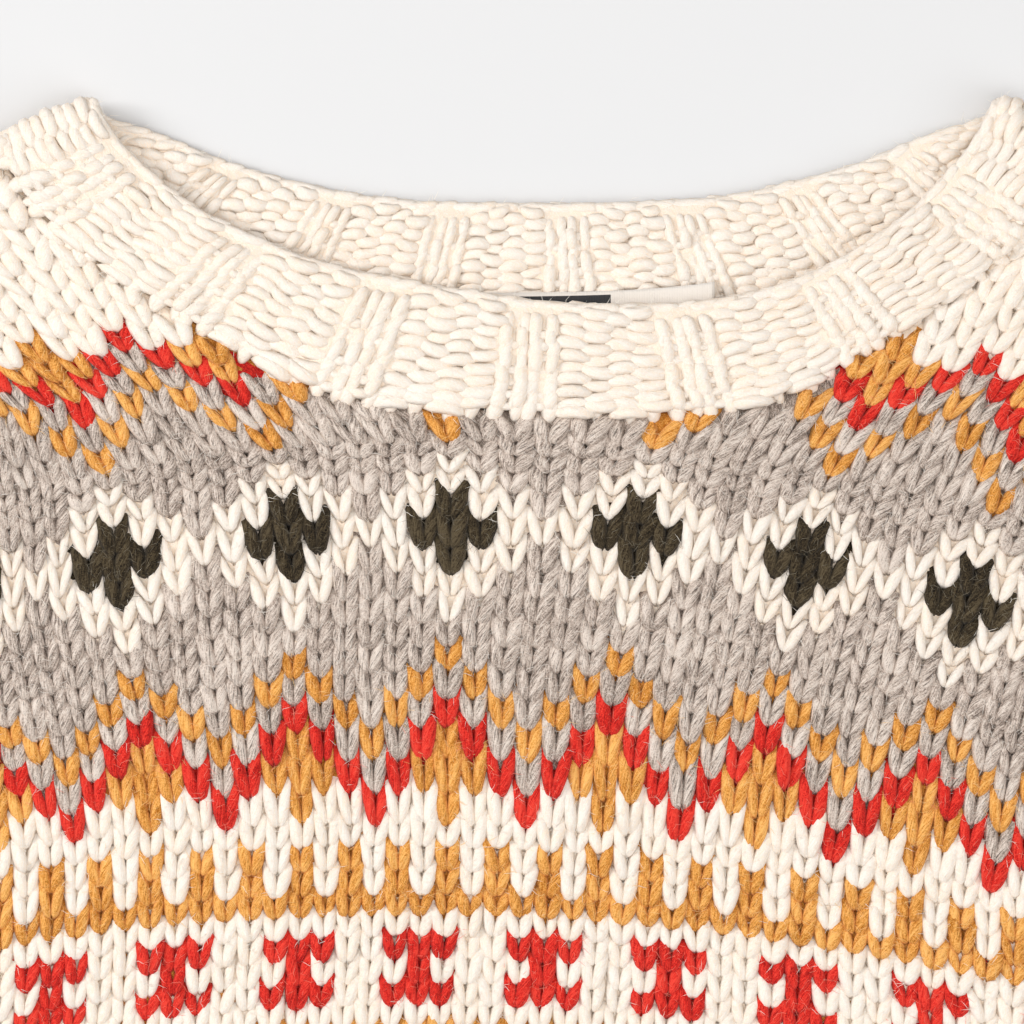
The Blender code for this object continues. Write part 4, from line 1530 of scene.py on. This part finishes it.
def thread_material(name, colour):
    """Smooth woven thread: a fine grid of bumps and a faint shimmer."""
    material = plain_material(name, colour, 0.6)
    tree = material.node_tree
    place = linked(tree, "ShaderNodeUVMap", {"uv_map": "label_uv"}).outputs[0]
    weft = linked(tree, "ShaderNodeTexWave", {"bands_direction": "Y"}, Vector=place, Scale=900.0)
    warp = linked(tree, "ShaderNodeTexWave", {"bands_direction": "X"}, Vector=place, Scale=500.0)
    weave = math_node(tree, "ADD", weft.outputs[1], warp.outputs[1])
    bump = linked(tree, "ShaderNodeBump", (), Strength=0.5, Distance=0.00008, Height=weave)
    shader = tree.nodes["Principled BSDF"]
    tree.links.new(bump.outputs[0], shader.inputs["Normal"])
    shader.inputs["Sheen Weight"].default_value = 0.1
    return material


def label_piece():
    """A closed grid: u runs left from the upper right corner, v runs down."""
    across = np.linspace(0.0, LABEL_WIDTH, LABEL_CELLS[0] + 1)
    down = np.linspace(0.0, LABEL_HEIGHT, LABEL_CELLS[1] + 1)
    columns, lines = len(across), len(down)
    points, faces, dark = [], [], []
    for layer in (1, -1):
        for v in down:
            for u in across:
                sag = LABEL_SAG * (1.0 - math.exp(-u / LABEL_SAG_REACH))
                curl = LABEL_CURL * math.exp(-((u / CURL_ACROSS) ** 2))
                curl *= math.exp(-((v / CURL_DOWN) ** 2))
                y = NECK_Y - LABEL_CORNER_DROP - sag - v
                points.append((LABEL_CORNER_X - u, y, LABEL_Z + curl + layer * LABEL_THICKNESS / 2))
    lower = columns * lines
    for j in range(lines - 1):
        for i in range(columns - 1):
            corner = j * columns + i
            top = (corner, corner + 1, corner + 1 + columns, corner + columns)
            in_bar = BAR_START < across[i] + HALF_CELL < BAR_END
            in_bar = in_bar and BAR_TOP < down[j] + HALF_CELL < BAR_BOTTOM
            faces += [top, tuple(lower + k for k in reversed(top))]
            dark += [int(in_bar), 0]
    rim = [*range(columns)] + [j * columns + columns - 1 for j in range(1, lines)]
    rim += [(lines - 1) * columns + i for i in range(columns - 2, -1, -1)]
    rim += [j * columns for j in range(lines - 2, 0, -1)]
    for first, second in zip(rim, rim[1:] + rim[:1]):
        faces.append((second, first, lower + first, lower + second))
        dark.append(0)
    mesh = bpy.data.meshes.new("woven_label")
    mesh.from_pydata(points, [], faces)
    layer = mesh.uv_layers.new(name="label_uv")
    for loop, uv in zip(mesh.loops, layer.data):
        uv.uv = points[loop.vertex_index][:2]
    mesh.materials.append(thread_material("label_white", (0.82, 0.755, 0.685)))
    mesh.materials.append(thread_material("label_dark", (0.02, 0.02, 0.022)))
    mesh.polygons.foreach_set("material_index", dark)
    mesh.shade_smooth()
    piece = finished_piece("woven_label", mesh)
    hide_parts("neck_label")
    return piece


woven_label = label_piece()

# %% [markdown]
# Wool is never smooth: loose fibres stand off the yarn everywhere and soften each edge. A second
# Geometry Nodes tree scatters points over the finished stitches, where they face up, and sets a bent
# fibre on each, leaning far over. Each fibre keeps the yarn number of the stitch that it grows
# from, and takes a paler wool of that colour, as a single hair lets light through.

# %% Loose fibres
FIBRE_RADIUS = 0.000060
FIBRE_LEAN = (0.85, 1.25)
FIBRE_SIZES = (0.0012, 0.0036)
# how much a face must point up to carry fibres
LEAST_RISE = 0.25
FIBRE_COLOURS = {
    "cream": (0.97, 0.91, 0.82),
    "grey": (0.86, 0.80, 0.73),
    "mustard": (0.95, 0.62, 0.26),
    "red": (0.93, 0.24, 0.17),
    "dark": (0.20, 0.17, 0.12),
}
FIBRE_MATERIALS = {yarn: plain_material(f"fibre_{yarn}", FIBRE_COLOURS[yarn], 0.7) for yarn in YARNS}


def fibre_object():
    """One fibre of unit length that stands up and bends over, with the hair's real thickness."""
    share = np.linspace(0.0, 1.0, 4)
    spine = np.stack([0.35 * share**2, 0.12 * np.sin(5 * share), share], axis=1)
    mean_size = sum(FIBRE_SIZES) / 2
    radii = FIBRE_RADIUS / mean_size * (1.0 - 0.6 * share)
    points, faces, uvs = tube(spine, radii, 3, 1.0)
    rows = [(x, y * ROW_SHARE, z) for x, y, z in points]
    return stitch_object("loose_fibre", [(rows, faces, uvs)])


def fibre_tree():
    sockets = (
        ("Geometry", "Geometry", None),
        ("Fibre", "Object", None),
        ("Density", "Float", 1000.0),
        ("Seed", "Int", 1),
    )
    tree, given = new_tree("loose_fibres", sockets)
    fibre = linked(tree, "GeometryNodeObjectInfo", (), Object=given["Fibre"])
    normal = linked(tree, "GeometryNodeInputNormal").outputs[0]
    rise = linked(tree, "ShaderNodeSeparateXYZ", (), i0=normal).outputs[2]
    upward = linked(tree, "FunctionNodeCompare", {"operation": "GREATER_THAN"}, i0=rise, i1=LEAST_RISE)
    scattered = linked(
        tree,
        "GeometryNodeDistributePointsOnFaces",
        Mesh=given["Geometry"],
        Selection=upward.outputs[0],
        Density=given["Density"],
        Seed=given["Seed"],
    )
    leans = [(0.0, lean, turn) for lean, turn in zip(FIBRE_LEAN, (0.0, math.tau))]
    planted = linked(
        tree,
        "GeometryNodeInstanceOnPoints",
        Points=scattered.outputs["Points"],
        Instance=fibre.outputs["Geometry"],
        Rotation=random_value(tree, "FLOAT_VECTOR", *leans, given["Seed"]),
        Scale=random_value(tree, "FLOAT", *FIBRE_SIZES, given["Seed"]),
    )
    return finished_tree(tree, planted.outputs[0], FIBRE_MATERIALS)


FIBRES = fibre_tree()
loose_fibre = fibre_object()
print("fibre faces", len(loose_fibre.data.polygons), "inputs", input_ids(FIBRES))


def grow_fibres(pieces, density, seed):
    """Loose fibres over each piece, as pieces of their own."""
    made = []
    for number, piece in enumerate(pieces):
        name = f"{piece.name}_fibres"
        settings = {"Fibre": loose_fibre, "Density": density, "Seed": seed + number}
        made.append(finished_piece(name, grown(piece, FIBRES, settings, name)))
    return made


# fibres to a square metre of yarn
FRONT_FIBRE_DENSITY = 300000.0
BAND_FIBRE_DENSITY = 120000.0
front_fibres = grow_fibres(front_stitches[:3], FRONT_FIBRE_DENSITY, 61)
neck_fibres = grow_fibres(neck_stitches, BAND_FIBRE_DENSITY, 71)

# %% [markdown]
# The pattern pieces are taken away. Each ground stands for its cloth, and a table gives each cloth's
# flat size and area and what it lies on, beside its stitches and fibres. A cloth's flat size is what
# shows, all round where it is a tube, and it lies on the cloth below it.

# %% Finish
for pattern in (*STITCH_PATTERNS, loose_fibre):
    bpy.data.objects.remove(pattern)
# node: flat width and length, flat area, what it lies on
SHEETS = {
    "front": ((0.567, 0.571), 0.300, ["back_ground"]),
    "back": ((0.567, 0.571), 0.310, []),
    "hem_rib_front": ((0.567, 0.055), 0.0305, ["hem_rib_back_ground"]),
    "hem_rib_back": ((0.567, 0.055), 0.0305, []),
    "sleeve_left": ((0.464, 0.516), 0.142, []),
    "sleeve_right": ((0.464, 0.516), 0.142, []),
    "cuff_left": ((0.250, 0.062), 0.0134, []),
    "cuff_right": ((0.250, 0.062), 0.0134, []),
    "neckband": ((0.590, 0.026), 0.0145, []),
}
trims = {
    "front": front_stitches + front_fibres,
    "sleeve_left": [sleeve_stitches["left"]],
    "sleeve_right": [sleeve_stitches["right"]],
    "neckband": neck_stitches + neck_fibres,
    **rib_pieces,
}
for node, (flat, area, rests_on) in SHEETS.items():
    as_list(trims.get(node, []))
